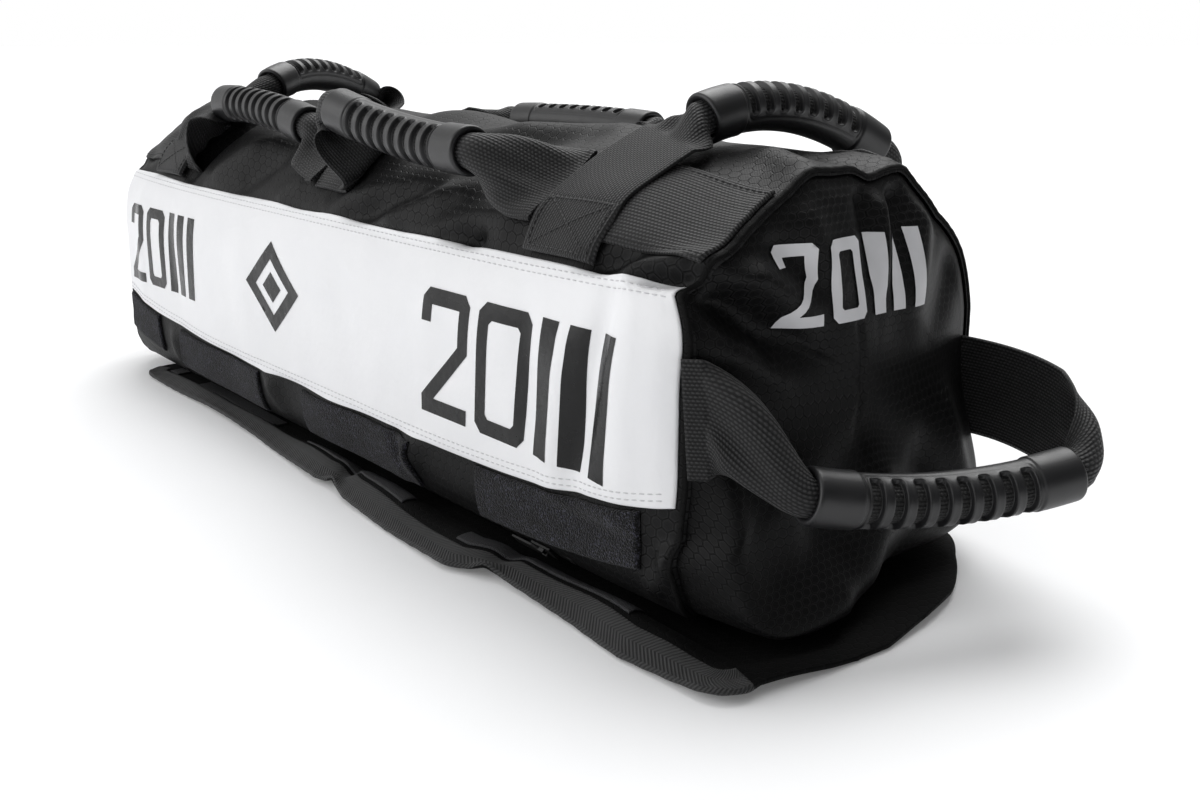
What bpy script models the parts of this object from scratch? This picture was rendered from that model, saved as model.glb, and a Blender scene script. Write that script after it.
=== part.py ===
"""Sandbag trainer: a heavy fabric bag with seven carrying handles.

The bag lies on its closing flap. X runs along the bag toward its near end,
the white band faces -Y, +Z is up, and the origin is on the floor below the
middle of the bag. All sizes are in metres, all angles in degrees.
"""

import math

import bmesh
import bpy
import numpy as np
from mathutils import Vector

# Driving dimensions of the bag
BAG_LENGTH = 0.606
BAG_WIDTH = 0.206
BAG_HEIGHT = 0.197
FABRIC = 0.0012
FIT_GAP = 0.0003
FACET = 0.0135
CORNER_FACET = 0.0050
END_BULGE = 0.018
TOE_BULGE = 0.029

# Flap that the bag lies on
FLAP_THICKNESS = 0.0034
FLAP_SHEET = 0.0022
FLAP_LENGTH = 0.636
FLAP_SHIFT = 0.0375
FLAP_BACK_DEPTH = 0.092
FLAP_FRONT_DEPTH = 0.123
FLAP_FOLD = 0.093
FLAP_FRONT_CORNER = 0.022
FLAP_BACK_CORNER = 0.044
FLAP_BACK_TAPER = 0.086
BINDING_WIDTH = 0.018
BINDING_TAPE = 0.0004
HOOK_WIDTH = 0.0100
HOOK_THICKNESS = 0.0010

# Sewn trim on the bag
BAND_THICKNESS = 0.0008
PILE_THICKNESS = 0.0014
PATCH_COUNT = 4
PATCH_LENGTH = 0.128
PATCH_GAP = 0.056
PATCH_FAR_LENGTH = 0.058
PATCH_FAR_GAP = 0.0373
PATCH_NEAR_MARGIN = 0.020

# Webbing and handle grips
WEBBING_WIDTH = 0.050
WEBBING_THICKNESS = 0.0020
GRIP_LENGTH = 0.128
GRIP_DIAMETER = 0.0230
COLLAR_DIAMETER = 0.0245
COLLAR_LENGTH = 0.021
COLLAR_STEP = 0.0008
GRIP_BORE = 0.0178
GRIP_SIDES = 12
SLOT_COUNT = 8
SLOT_SHARE = 0.52
CORE_WIDTH = 0.0140
CORE_THICKNESS = 0.0070

# Stations along the bag where cross handles and the middle tacking sit
NEAR_CROSS_X = 0.217
FAR_CROSS_X = 0.228
TACK_WIDTH = 0.036
TACK_X = 0.000
BACK_LOOP_X = 0.022
BACK_LOOP_SPAN = 0.206
FRONT_NEAR_GRIP_X = 0.0835
FRONT_FAR_GRIP_X = -0.117
BACK_GRIP_X = 0.032
TUCK_GAP = 0.006
CROSS_NEAR_SLIP = 0.022
CROSS_FAR_SLIP = 0.0035
LIP_LENGTH = 0.0012

# Hanging handles at the ends
END_ROOT_Y = 0.094
END_ROOT_DROP = 0.020
END_GRIP_REACH = 0.065
END_GRIP_SLIP = 0.010
END_GRIP_DROP = 0.0310
END_GRIP_SAG = 0.0066
END_GRIP_TURN = 22.5
END_GRIP_TILT = 2.3

# Zip below the loop patches
ZIP_LENGTH = 0.460
ZIP_SLOT = 0.0064
CHAIN_WIDTH = 0.0058
CHAIN_THICKNESS = 0.0020
TOOTH_PITCH = 0.0115
TOOTH_HEIGHT = 0.0006
TAPE_WIDTH = 0.026
TAPE_THICKNESS = 0.0006
CHAIN_DROP = 0.0014
STOP_LENGTH = 0.005
SLIDER_LENGTH = 0.014
SLIDER_WIDTH = 0.0090
SLIDER_PLATE = 0.0010
EAR_THICKNESS = 0.0010
EAR_SPACING = 0.0030
EAR_LENGTH = 0.0034
PULL_LENGTH = 0.022
PULL_WIDTH = 0.0070
PULL_THICKNESS = 0.0010
PULL_HEEL = 0.0005
SLIDER_REST_X = 0.208

# Filler bags
FILLER_COUNT = 4
FILLER_GAP = 0.0006
FILLER_ROOM = 0.006

# Angles round the bag, from the front level (0) over the top (90) to the back
BAND_ANGLES = (-29.0, 28.0)
PATCH_ANGLES = (-40.8, -30.2)
STRAP_ANGLE = 49.5
CROSS_ANGLES = (30.0, 45.0)
ZIP_ANGLE = -43.2
LOW_SEAM_RISE = 8.5
TOP_SEAM_RISE = 2.0
TUCK_ANGLE = 5.0

# Shape shares of the bag's section
UPPER_POWER_SHARE = 2.3
LOWER_POWER_SHARE = 8.0
BEND_SHARE = 0.16
GATHER_SHARE = 0.10
TUCK_SHARE = 0.40
SLACK_SHARE = 0.80
SPREAD_SHARE = 0.60
THICK_SHARE = 0.35
TOE_SHARE = 1.2
PANEL_CROWD_SHARE = 1.6

HALF_LENGTH = BAG_LENGTH / 2
HALF_WIDTH = BAG_WIDTH / 2
HALF_HEIGHT = BAG_HEIGHT / 2
SKIN_FLOOR = FLAP_THICKNESS + FIT_GAP
MIDDLE_Z = SKIN_FLOOR + HALF_HEIGHT
STRAP_LIFT = FIT_GAP
CROSS_LIFT = STRAP_LIFT + WEBBING_THICKNESS + FIT_GAP


def clear_scene():
    """Remove every object of the open file."""
    for item in list(bpy.data.objects):
        bpy.data.objects.remove(item, do_unlink=True)


def material(name, colour, roughness, metallic=0.0):
    """Plain surface with one colour."""
    made = bpy.data.materials.new(name)
    made.use_nodes = True
    surface = made.node_tree.nodes["Principled BSDF"]
    surface.inputs["Base Color"].default_value = (*colour, 1.0)
    surface.inputs["Roughness"].default_value = roughness
    surface.inputs["Metallic"].default_value = metallic
    return made


# Section of the bag

def rise(x, angle):
    """Angle by which a seam below the straps climbs toward the bag's ends."""
    if angle > BAND_ANGLES[1]:
        return 0.0
    full = LOW_SEAM_RISE if angle < 0 else TOP_SEAM_RISE
    return full * (x / HALF_LENGTH) ** 4


def skin(x, angle, lift=0.0):
    """Point above the bag's skin at a station and an angle round it."""
    turn = math.radians(angle)
    across, up = -math.cos(turn), math.sin(turn)
    power = UPPER_POWER_SHARE if up > 0 else LOWER_POWER_SHARE
    reach = (abs(across / HALF_WIDTH) ** power + abs(up / HALF_HEIGHT) ** power) ** (-1 / power)
    y, z = reach * across, reach * up
    slope_y = math.copysign(abs(y / HALF_WIDTH) ** (power - 1) / HALF_WIDTH, y)
    slope_z = math.copysign(abs(z / HALF_HEIGHT) ** (power - 1) / HALF_HEIGHT, z)
    normal = Vector((0, slope_y, slope_z)).normalized()
    return Vector((x, y, z + MIDDLE_Z)) + normal * lift


def skin_frame(x, angle, lift=0.0):
    """Point, outward normal and direction of growing angle on the skin."""
    step = 0.5
    point = skin(x, angle, lift)
    ahead = (skin(x, angle + step) - skin(x, angle - step)).normalized()
    outward = Vector((1, 0, 0)).cross(ahead).normalized()
    if outward.dot(point - Vector((x, 0, MIDDLE_Z))) < 0:
        outward.negate()
    return point, outward, ahead


# Closed bodies from grids of points

def finish(name, vertices, faces, surface, pivot=None, smooth=True):
    """Object from world points, its faces turned out, hung on a pivot."""
    mesh = bpy.data.meshes.new(name)
    origin = pivot.location if pivot else Vector((0, 0, 0))
    mesh.from_pydata([Vector(v) - origin for v in vertices], [], faces)
    shape = bmesh.new()
    shape.from_mesh(mesh)
    loose = [v for v in shape.verts if not v.link_faces]
    bmesh.ops.delete(shape, geom=loose, context="VERTS")
    bmesh.ops.recalc_face_normals(shape, faces=shape.faces)
    if shape.calc_volume(signed=True) < 0:
        bmesh.ops.reverse_faces(shape, faces=shape.faces)
    shape.to_mesh(mesh)
    shape.free()
    mesh.materials.append(surface)
    if smooth:
        mesh.shade_smooth()
        mesh.set_sharp_from_angle(angle=math.radians(35))
    made = bpy.data.objects.new(name, mesh)
    bpy.context.collection.objects.link(made)
    if pivot:
        made.parent = pivot
    return made


def pivot_at(name, place):
    """Empty on a joint's axis, which carries the pieces that move there."""
    empty = bpy.data.objects.new(name, None)
    empty.empty_display_size = COLLAR_DIAMETER
    empty.location = place
    bpy.context.collection.objects.link(empty)
    return empty


def sheet(name, outer, inner, surface, wrap=False, solid=None, pivot=None):
    """Closed body between two grids of points, open where solid is False."""
    rows, columns = len(outer), len(outer[0])
    cells = columns if wrap else columns - 1
    if solid is None:
        solid = np.ones((rows - 1, cells), bool)
    vertices = [p for row in outer for p in row] + [p for row in inner for p in row]
    under = rows * columns

    def corner(i, j):
        return i * columns + j % columns

    def filled(i, j):
        if wrap:
            j %= cells
        inside = 0 <= i < rows - 1 and 0 <= j < cells
        return inside and bool(solid[i, j])

    faces = []
    for i in range(rows - 1):
        for j in range(cells):
            if not filled(i, j):
                continue
            a, b = corner(i, j), corner(i + 1, j)
            c, d = corner(i + 1, j + 1), corner(i, j + 1)
            faces.append((a, b, c, d))
            faces.append((d + under, c + under, b + under, a + under))
            edges = (((i, j - 1), a, b), ((i + 1, j), b, c), ((i, j + 1), c, d), ((i - 1, j), d, a))
            for beside, start, end in edges:
                if not filled(*beside):
                    faces.append((start, start + under, end + under, end))
    return finish(name, vertices, faces, surface, pivot)


def loft(name, rings, surface, pivot=None):
    """Closed body through rings of points, with flat ends."""
    count = len(rings[0])
    vertices = [p for ring in rings for p in ring]
    faces = []
    for i in range(len(rings) - 1):
        for j in range(count):
            k = (j + 1) % count
            faces.append((i * count + j, i * count + k, (i + 1) * count + k, (i + 1) * count + j))
    faces.append(tuple(range(count)))
    last = (len(rings) - 1) * count
    faces.append(tuple(reversed(range(last, last + count))))
    return finish(name, vertices, faces, surface, pivot)


def plate(name, outline, low, high, surface, pivot=None):
    """Level plate between two heights with an outline seen from above."""
    rings = [[Vector((x, y, z)) for x, y in outline] for z in (low, high)]
    return loft(name, rings, surface, pivot)


def on_skin(name, x_span, angle_span, lift, thickness, surface, rows=3, drop=0.0):
    """Curved sheet on the skin of the bag, its seams climbing to the ends."""
    steps = angles_round(*angle_span, FACET / 2, CORNER_FACET / 2)
    shares = [(angle - steps[0]) / (steps[-1] - steps[0]) for angle in steps]
    outer, inner = [], []
    for x in np.linspace(*x_span, rows + 1):
        low, high = (angle + rise(x, angle) for angle in angle_span)
        angles = [low + (high - low) * share for share in shares]
        outer.append([skin(x, a, lift + thickness) for a in angles])
        inner.append([skin(x, a, lift - drop) for a in angles])
    return sheet(name, outer, inner, surface)


def skin_block(name, x_span, across_span, lift_span, surface, pivot=None):
    """Straight block over the zip, along X, across it and off the skin."""
    base, outward, ahead = skin_frame(0, ZIP_ANGLE)
    rings = []
    for x in x_span:
        corners = ((0, 0), (1, 0), (1, 1), (0, 1))
        shift = Vector((x, 0, 0))
        rings.append([base + shift + ahead * across_span[a] + outward * lift_span[b] for a, b in corners])
    return loft(name, rings, surface, pivot)


# Bag

def tilt_of(width, angle=STRAP_ANGLE):
    """Angle round the bag that half a strap's width covers."""
    reach = (skin(0, angle) - Vector((0, 0, MIDDLE_Z))).length
    return math.degrees(width / 2 / reach)


def angles_round(start, end, longest, shortest):
    """Angles from start to end, closest together at the lower corners."""
    count = 720
    angles = np.linspace(start, end, count + 1)
    points = [skin(0, angle) for angle in angles]
    normals = [skin(0, angle, FABRIC) - point for angle, point in zip(angles, points)]
    travelled = [0.0]
    for number in range(count):
        length = (points[number + 1] - points[number]).length
        bend = (normals[number + 1] - normals[number]).length / FABRIC
        travelled.append(travelled[-1] + max(length / longest, min(length / shortest, bend / BEND_SHARE)))
    steps = math.ceil(travelled[-1])
    return [float(a) for a in np.interp(np.linspace(0, travelled[-1], steps + 1), travelled, angles)]


def shell_body(fabric):
    """Fabric tube with the long slot of the zip."""
    half_slot = tilt_of(ZIP_SLOT, ZIP_ANGLE)
    around = angles_round(ZIP_ANGLE + half_slot, ZIP_ANGLE + 360 - half_slot, FACET, CORNER_FACET)
    half_zip = ZIP_LENGTH / 2
    stations = [-HALF_LENGTH, -half_zip, half_zip, HALF_LENGTH]
    outer = [[skin(x, a) for a in around] for x in stations]
    inner = [[skin(x, a, -FABRIC) for a in around] for x in stations]
    solid = np.ones((len(stations) - 1, len(around)), bool)
    solid[1, -1] = False
    return sheet("shell_body", outer, inner, fabric, wrap=True, solid=solid)


def end_depth(across, up):
    """How far an end panel stands out, from its place across and up."""
    crown = 1 - min(1.0, across * across + up * up)
    toe = ease(-TOE_SHARE * up) * (1 - min(1.0, (across * across + up * up) ** 10))
    return END_BULGE * crown + TOE_BULGE * toe


def end_panel(name, side, fabric):
    """Bulging fabric panel sewn into one end of the bag."""
    even = np.linspace(-1, 1, 15)
    crowded = np.sign(even) * (1 - (1 - abs(even)) ** PANEL_CROWD_SHARE)
    outer, inner = [], []
    for u in crowded:
        outer_row, inner_row = [], []
        for v in crowded:
            across = u * math.sqrt(1 - v * v / 2)
            up = v * math.sqrt(1 - u * u / 2)
            rim = skin(HALF_LENGTH, math.degrees(math.atan2(up, -across)))
            share = math.hypot(across, up)
            depth = HALF_LENGTH + FIT_GAP + end_depth(across, up)
            y = rim.y * share
            z = MIDDLE_Z + (rim.z - MIDDLE_Z) * share
            outer_row.append(Vector((side * (depth + FABRIC), y, z)))
            inner_row.append(Vector((side * depth, y, z)))
        outer.append(outer_row)
        inner.append(inner_row)
    return sheet(name, outer, inner, fabric)


def filler_ring(x, girth_share):
    """Ring of points round a filler bag that rests on the shell's floor."""
    half_width = HALF_WIDTH - FABRIC - FILLER_ROOM
    half_height = HALF_HEIGHT - FABRIC - FILLER_ROOM / 2
    middle_z = SKIN_FLOOR + FABRIC + FIT_GAP + half_height
    ring = []
    for angle in np.linspace(0, 2 * math.pi, 16, endpoint=False):
        across, up = math.cos(angle), math.sin(angle)
        power = UPPER_POWER_SHARE
        reach = (abs(across / half_width) ** power + abs(up / half_height) ** power) ** (-1 / power)
        ring.append(Vector((x, across * reach * girth_share, middle_z + up * reach * girth_share)))
    return ring


def fillers(canvas):
    """Sand-filled inner bags, laid end to end inside the shell."""
    span = (BAG_LENGTH - FILLER_GAP) / FILLER_COUNT
    girth_shares = (0.62, 0.88, 1.0, 1.0, 0.88, 0.62)
    place_shares = (0.0, 0.07, 0.24, 0.76, 0.93, 1.0)
    for number in range(FILLER_COUNT):
        start = -HALF_LENGTH + FILLER_GAP + number * span
        stations = [start + place * (span - FILLER_GAP) for place in place_shares]
        rings = [filler_ring(*station) for station in zip(stations, girth_shares)]
        loft(f"filler_bag_{number + 1}", rings, canvas)


def band(vinyl):
    """White band along the front."""
    edge = HALF_LENGTH - FIT_GAP
    on_skin("white_band", (-edge, edge), BAND_ANGLES, FIT_GAP, BAND_THICKNESS, vinyl, rows=12)


def loop_patches(pile):
    """Soft loop patches in a row below the band."""
    for number, span in enumerate(patch_spans()):
        on_skin(f"loop_patch_{number + 1}", span, PATCH_ANGLES, FIT_GAP, PILE_THICKNESS, pile)


def straps(webbing):
    """Lengthwise straps and cross patches, sewn flat on the bag."""
    half = tilt_of(WEBBING_WIDTH)
    half_webbing = WEBBING_WIDTH / 2
    end = HALF_LENGTH - FIT_GAP
    near_start = NEAR_CROSS_X - half_webbing
    far_end = -FAR_CROSS_X + half_webbing
    front_spans = {
        "strap_front_near": (near_start, end),
        "strap_front_middle": (TACK_X - TACK_WIDTH / 2, TACK_X + TACK_WIDTH / 2),
        "strap_front_far": (-end, far_end),
    }
    for name, span in front_spans.items():
        on_skin(name, span, (STRAP_ANGLE - half, STRAP_ANGLE + half), STRAP_LIFT, WEBBING_THICKNESS, webbing)
    back = 180 - STRAP_ANGLE
    loop_near = BACK_LOOP_X + BACK_LOOP_SPAN / 2
    loop_far = BACK_LOOP_X - BACK_LOOP_SPAN / 2
    back_spans = {"strap_back_near": (loop_near, end), "strap_back_far": (-end, loop_far)}
    for name, span in back_spans.items():
        on_skin(name, span, (back - half, back + half), STRAP_LIFT, WEBBING_THICKNESS, webbing)
    for place, x in (("near", NEAR_CROSS_X), ("far", -FAR_CROSS_X)):
        span = (x - half_webbing, x + half_webbing)
        low, high = CROSS_ANGLES
        for face, angles in (("front", (low, high)), ("back", (180 - high, 180 - low))):
            on_skin(f"cross_patch_{place}_{face}", span, angles, CROSS_LIFT, WEBBING_THICKNESS, webbing)


# Handles

def arc(start, middle, end, share):
    """Point and direction on the smooth bow through three points."""
    bow = middle - (start + end) / 2
    point = start.lerp(end, share) + bow * (4 * share * (1 - share))
    slope = (end - start) + bow * (4 - 8 * share)
    return point, slope.normalized()


def leg_point(start, start_slope, end, end_slope, share):
    """Point and direction on the bend from the bag to a grip."""
    s = share
    point = (
        start * (2 * s**3 - 3 * s**2 + 1)
        + start_slope * (s**3 - 2 * s**2 + s)
        + end * (3 * s**2 - 2 * s**3)
        + end_slope * (s**3 - s**2)
    )
    slope = (
        start * (6 * s**2 - 6 * s)
        + start_slope * (3 * s**2 - 4 * s + 1)
        + end * (6 * s - 6 * s**2)
        + end_slope * (3 * s**2 - 2 * s)
    )
    return point, slope.normalized()


def square_to(direction, wish):
    """Direction nearest to a wish that is square to a given one."""
    return (wish - direction * wish.dot(direction)).normalized()


def ribbon_ring(point, slope, side, half_width, half_thickness, free=1.0):
    """Ring of eight points round a flat strap, square to it where free."""
    side = side.lerp(square_to(slope, side), free).normalized()
    up = slope.cross(side).normalized()
    outline_shares = ((1, -0.5), (1, 0.5), (0.8, 1), (-0.8, 1), (-1, 0.5), (-1, -0.5), (-0.8, -1), (0.8, -1))
    return [point + side * (half_width * a) + up * (half_thickness * b) for a, b in outline_shares]


def ease(share):
    """Smooth change from 0 to 1."""
    share = min(1.0, max(0.0, share))
    return share * share * (3 - 2 * share)


def handle_webbing(name, spec, webbing, pivot):
    """One strap from the bag, through the grip and back to the bag."""
    steps = 9
    flat, core = (WEBBING_WIDTH / 2, WEBBING_THICKNESS / 2), (CORE_WIDTH / 2, CORE_THICKNESS / 2)
    seat = GRIP_BORE / 2 * math.cos(math.pi / GRIP_SIDES) - FIT_GAP
    seated = (math.sqrt(seat**2 - (core[1] / 2) ** 2), core[1])

    def leg(root, mouth, mouth_slope, bends, root_share):
        start, start_slope, root_side = root
        found = []
        for share in np.linspace(0, 1, steps + 1):
            slopes = (start_slope * (bends[0] * GRIP_LENGTH), mouth_slope * (bends[1] * GRIP_LENGTH))
            point, slope = leg_point(start, slopes[0], mouth, slopes[1], share)
            full = ease((1 - share - GATHER_SHARE) / SPREAD_SHARE)
            side = root_side.lerp(spec["side"], ease(share)).normalized()
            half_width = seated[0] + (flat[0] * root_share - seated[0]) * full
            half_thickness = core[1] + (flat[1] - core[1]) * ease((1 - share) / THICK_SHARE)
            found.append((point, slope, side, half_width, half_thickness, ease(share)))
        return found

    start, middle, end = spec["grip"]
    _, first_slope = arc(start, middle, end, 0.0)
    _, last_slope = arc(start, middle, end, 1.0)
    width_shares = spec.get("width_shares", (1, 1))
    stations = leg(spec["roots"][0], start, first_slope, spec["bend_shares"][0], width_shares[0])
    collar_share = COLLAR_LENGTH / (end - start).length
    for number, share in enumerate(np.linspace(collar_share, 1 - collar_share, steps - 2)):
        point, slope = arc(start, middle, end, share)
        in_collar = number in (0, steps - 3)
        stations.append((point, slope, spec["side"], *(seated if in_collar else core)))
    last_leg = leg(spec["roots"][1], end, -last_slope, spec["bend_shares"][1], width_shares[1])
    stations += [(point, -slope, *rest) for point, slope, *rest in reversed(last_leg)]
    return loft(name, [ribbon_ring(*station) for station in stations], webbing, pivot)


def grip(name, spec, plastic, pivot):
    """Moulded grip: a bowed tube with collars and a row of finger slots."""
    slotted = 5
    start, middle, end = spec["grip"]
    span = (end - start).length
    collar = COLLAR_LENGTH / span
    step = COLLAR_STEP / span
    pitch = (1 - 2 * (collar + step)) / SLOT_COUNT
    stations = [(0.0, COLLAR_DIAMETER), (collar, COLLAR_DIAMETER)]
    first_slot = len(stations)
    for number in range(SLOT_COUNT):
        slot_start = collar + step + pitch * (number + (1 - SLOT_SHARE) / 2)
        stations.append((slot_start, GRIP_DIAMETER))
        stations.append((slot_start + pitch * SLOT_SHARE, GRIP_DIAMETER))
    stations += [(1 - collar, COLLAR_DIAMETER), (1.0, COLLAR_DIAMETER)]
    solid = np.ones((len(stations) - 1, GRIP_SIDES), bool)
    for number in range(SLOT_COUNT):
        solid[first_slot + 2 * number, :slotted] = False
    outer, inner = [], []
    for share, diameter in stations:
        point, slope = arc(start, middle, end, share)
        face = square_to(slope, spec["face"])
        beside = slope.cross(face)
        outer_row, inner_row = [], []
        for number in range(GRIP_SIDES):
            turn = 2 * math.pi * (number - slotted / 2) / GRIP_SIDES
            way = face * math.cos(turn) + beside * math.sin(turn)
            outer_row.append(point + way * (diameter / 2))
            inner_row.append(point + way * (GRIP_BORE / 2))
        outer.append(outer_row)
        inner.append(inner_row)
    return sheet(name, outer, inner, plastic, wrap=True, solid=solid, pivot=pivot)


def grip_place(x, angle, room_share):
    """Centre of a grip that clears the skin by a share of its thickness."""
    return skin(x, angle, COLLAR_DIAMETER * (1 / 2 + room_share))


def along_grip(x, angles, room_shares):
    """Ends and middle of a grip that runs along the bag."""
    stations = (x - GRIP_LENGTH / 2, x, x + GRIP_LENGTH / 2)
    return tuple(grip_place(*place) for place in zip(stations, angles, room_shares))


def cross_grip(x, angle, lean_share, room_shares):
    """Ends and middle of a grip that runs across the bag, leaning along it."""
    lean = lean_share * GRIP_LENGTH / 2
    reach = math.sqrt((GRIP_LENGTH / 2) ** 2 - lean**2)
    turn = math.degrees(reach / (HALF_WIDTH + COLLAR_DIAMETER))
    stations = (x - lean, x, x + lean)
    angles = (angle - turn, angle, angle + turn)
    return tuple(grip_place(*place) for place in zip(stations, angles, room_shares))


def strap_root(x, angle, level, way, lift=0.0):
    """Where a handle's strap leaves the bag, its direction and its side."""
    point, outward, ahead = skin_frame(x, angle, level + WEBBING_THICKNESS / 2)
    along = Vector((1, 0, 0))
    if way == "along":
        return point, along, ahead
    return point, (ahead + outward * lift).normalized(), along


def cross_roots(x, lift=0.0):
    """Both ends of a strap that crosses the bag above its sewn patches."""
    lip = CROSS_ANGLES[1] + tilt_of(LIP_LENGTH)
    return strap_root(x, lip, CROSS_LIFT, "round", lift), strap_root(x, 180 - lip, CROSS_LIFT, "round", -lift)


def along_roots(start, end, start_angle, end_angle):
    """Both ends of a strap that runs along the bag."""
    places = ((start, start_angle), (end, end_angle))
    return tuple(strap_root(*place, STRAP_LIFT, "along") for place in places)


def handle_specs():
    """Roots, grip line, bends and facing of every handle."""
    half_webbing = WEBBING_WIDTH / 2
    near, far = NEAR_CROSS_X, -FAR_CROSS_X
    tack = TACK_WIDTH / 2 + FIT_GAP
    back_near = BACK_LOOP_X + BACK_LOOP_SPAN / 2 - FIT_GAP
    back_far = BACK_LOOP_X - BACK_LOOP_SPAN / 2 + FIT_GAP
    front_near = near - half_webbing - FIT_GAP
    front_far = far + half_webbing + TUCK_GAP
    specs = {}
    across, front_side, back_side = Vector((1, 0, 0)), Vector((0, 0.7, 0.7)), Vector((0, 0.7, -0.7))
    top = MIDDLE_Z + HALF_HEIGHT
    front_line, back_line = skin(0, STRAP_ANGLE), skin(0, 180 - STRAP_ANGLE)
    specs["cross_near"] = {
        "grip": cross_grip(near + CROSS_NEAR_SLIP, 107, lean_share=0.08, room_shares=(0.05, 0.25, 0.55)),
        "roots": cross_roots(near),
        "bend_shares": ((0.39, 0.23), (-0.23, 0.86)),
        "side": across,
        "face": Vector((0.45, 0, 0.89)),
        "pivot": Vector((near + CROSS_NEAR_SLIP, 0, top)),
    }
    specs["cross_far"] = {
        "grip": cross_grip(far + CROSS_FAR_SLIP, 104.5, lean_share=-0.39, room_shares=(0.14, 0.43, 0.65)),
        "roots": cross_roots(far, 0.4),
        "width_shares": (SLACK_SHARE, 1),
        "bend_shares": ((0.55, 0.39), (-0.35, 0.70)),
        "side": across,
        "face": Vector((0, 0, 1)),
        "pivot": Vector((far + CROSS_FAR_SLIP, 0, top)),
    }
    specs["front_near"] = {
        "grip": along_grip(FRONT_NEAR_GRIP_X, (49.5, 47.5, 46), room_shares=(0.96, 0.57, 0.53)),
        "roots": along_roots(TACK_X + tack, front_near, STRAP_ANGLE, STRAP_ANGLE),
        "bend_shares": ((0.47, 0.78), (-0.23, 0.23)),
        "side": front_side,
        "face": Vector((0, -1, -0.1)),
        "pivot": front_line,
    }
    specs["front_far"] = {
        "grip": along_grip(FRONT_FAR_GRIP_X, (57, 56, 53), room_shares=(0.25, 0.25, 0.05)),
        "roots": along_roots(front_far, TACK_X - tack, STRAP_ANGLE - TUCK_ANGLE, STRAP_ANGLE),
        "bend_shares": ((0.08, 0.31), (-0.31, 0.39)),
        "width_shares": (TUCK_SHARE, 1),
        "side": front_side,
        "face": Vector((0, -0.95, 0.3)),
        "pivot": front_line,
    }
    specs["back_middle"] = {
        "grip": along_grip(BACK_GRIP_X, (130, 130, 130), room_shares=(0.12, 0.20, 0.12)),
        "roots": along_roots(back_far, back_near, 180 - STRAP_ANGLE, 180 - STRAP_ANGLE),
        "bend_shares": ((0.31, 0.31), (-0.23, 0.23)),
        "side": back_side,
        "face": Vector((0, 0.6, 0.8)),
        "pivot": back_line,
    }
    specs["end_near"] = end_handle_spec(1)
    specs["end_far"] = end_handle_spec(-1)
    return specs


def panel_point(side, y, z, lift):
    """Point off an end panel at a place seen from the end."""
    turn = math.atan2(z - MIDDLE_Z, -y)
    rim = skin(HALF_LENGTH, math.degrees(turn)) - Vector((HALF_LENGTH, 0, MIDDLE_Z))
    share = math.hypot(y, z - MIDDLE_Z) / rim.length
    depth = end_depth(-math.cos(turn) * share, math.sin(turn) * share)
    return Vector((side * (HALF_LENGTH + FIT_GAP + FABRIC + depth + lift), y, z))


def end_root(side, y, z, slope):
    """Where a hanging handle's strap leaves an end panel, with its side."""
    seat = FIT_GAP + WEBBING_THICKNESS / 2 * abs(slope.normalized().y)
    low = panel_point(side, y, z - WEBBING_WIDTH / 2, seat)
    high = panel_point(side, y, z + WEBBING_WIDTH / 2, seat)
    middle = panel_point(side, y, z, seat)
    root = (low + high) / 2
    root.x = side * max(abs(root.x), abs(middle.x))
    return root, slope, (high - low).normalized() * side


def end_handle_spec(side):
    """Roots, grip line, bends and facing of the hanging handle at one end."""
    centre = Vector((side * (HALF_LENGTH + END_GRIP_REACH), -END_GRIP_SLIP, MIDDLE_Z - END_GRIP_DROP))
    turn, tilt = math.radians(END_GRIP_TURN), math.radians(END_GRIP_TILT)
    level = math.cos(tilt) * GRIP_LENGTH / 2
    drop = math.sin(tilt) * GRIP_LENGTH / 2
    half = Vector((side * level * math.sin(turn), level * math.cos(turn), -drop))
    sag = Vector((0, 0, -END_GRIP_SAG))
    return {
        "grip": (centre - half, centre + sag, centre + half),
        "roots": (end_root(side, -END_ROOT_Y, MIDDLE_Z, Vector((side * 0.75, 0.66, 0))),
                  end_root(side, END_ROOT_Y, MIDDLE_Z - END_ROOT_DROP, Vector((side, 0.05, 0)))),
        "bend_shares": ((0.39, 0.31), (1.09, 0.55)),
        "side": Vector((0, 0, side)),
        "face": Vector((side, 0, -0.1)),
        "pivot": Vector((side * HALF_LENGTH, 0, MIDDLE_Z - END_ROOT_DROP / 2)),
    }


def handles(webbing, plastic):
    """Handles, each hung on its own pivot."""
    for name, spec in handle_specs().items():
        pivot = pivot_at(f"pivot_{name}", spec["pivot"])
        handle_webbing(f"handle_{name}_webbing", spec, webbing, pivot)
        grip(f"handle_{name}_grip", spec, plastic, pivot)


# Flap

def flap_outline(low_y, high_y, front_corner=(0, 0), back_corner=(0, 0)):
    """Outline of a stretch of the flap, its free corners rounded."""
    far_x = FLAP_SHIFT - FLAP_LENGTH / 2
    near_x = FLAP_SHIFT + FLAP_LENGTH / 2
    corners = (
        (near_x, low_y, 180, front_corner),
        (near_x, high_y, 270, back_corner),
        (far_x, high_y, 0, back_corner),
        (far_x, low_y, 90, front_corner),
    )
    outline = []
    for x, y, turn, (along, across) in corners:
        if along == 0:
            outline.append((x, y))
            continue
        centre_x = x + math.copysign(along, FLAP_SHIFT - x)
        centre_y = y + math.copysign(across, (low_y + high_y) / 2 - y)
        for angle in np.linspace(turn + 90, turn + 180, 7):
            way = math.radians(angle)
            outline.append((centre_x + along * math.cos(way), centre_y + across * math.sin(way)))
    return outline


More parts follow.
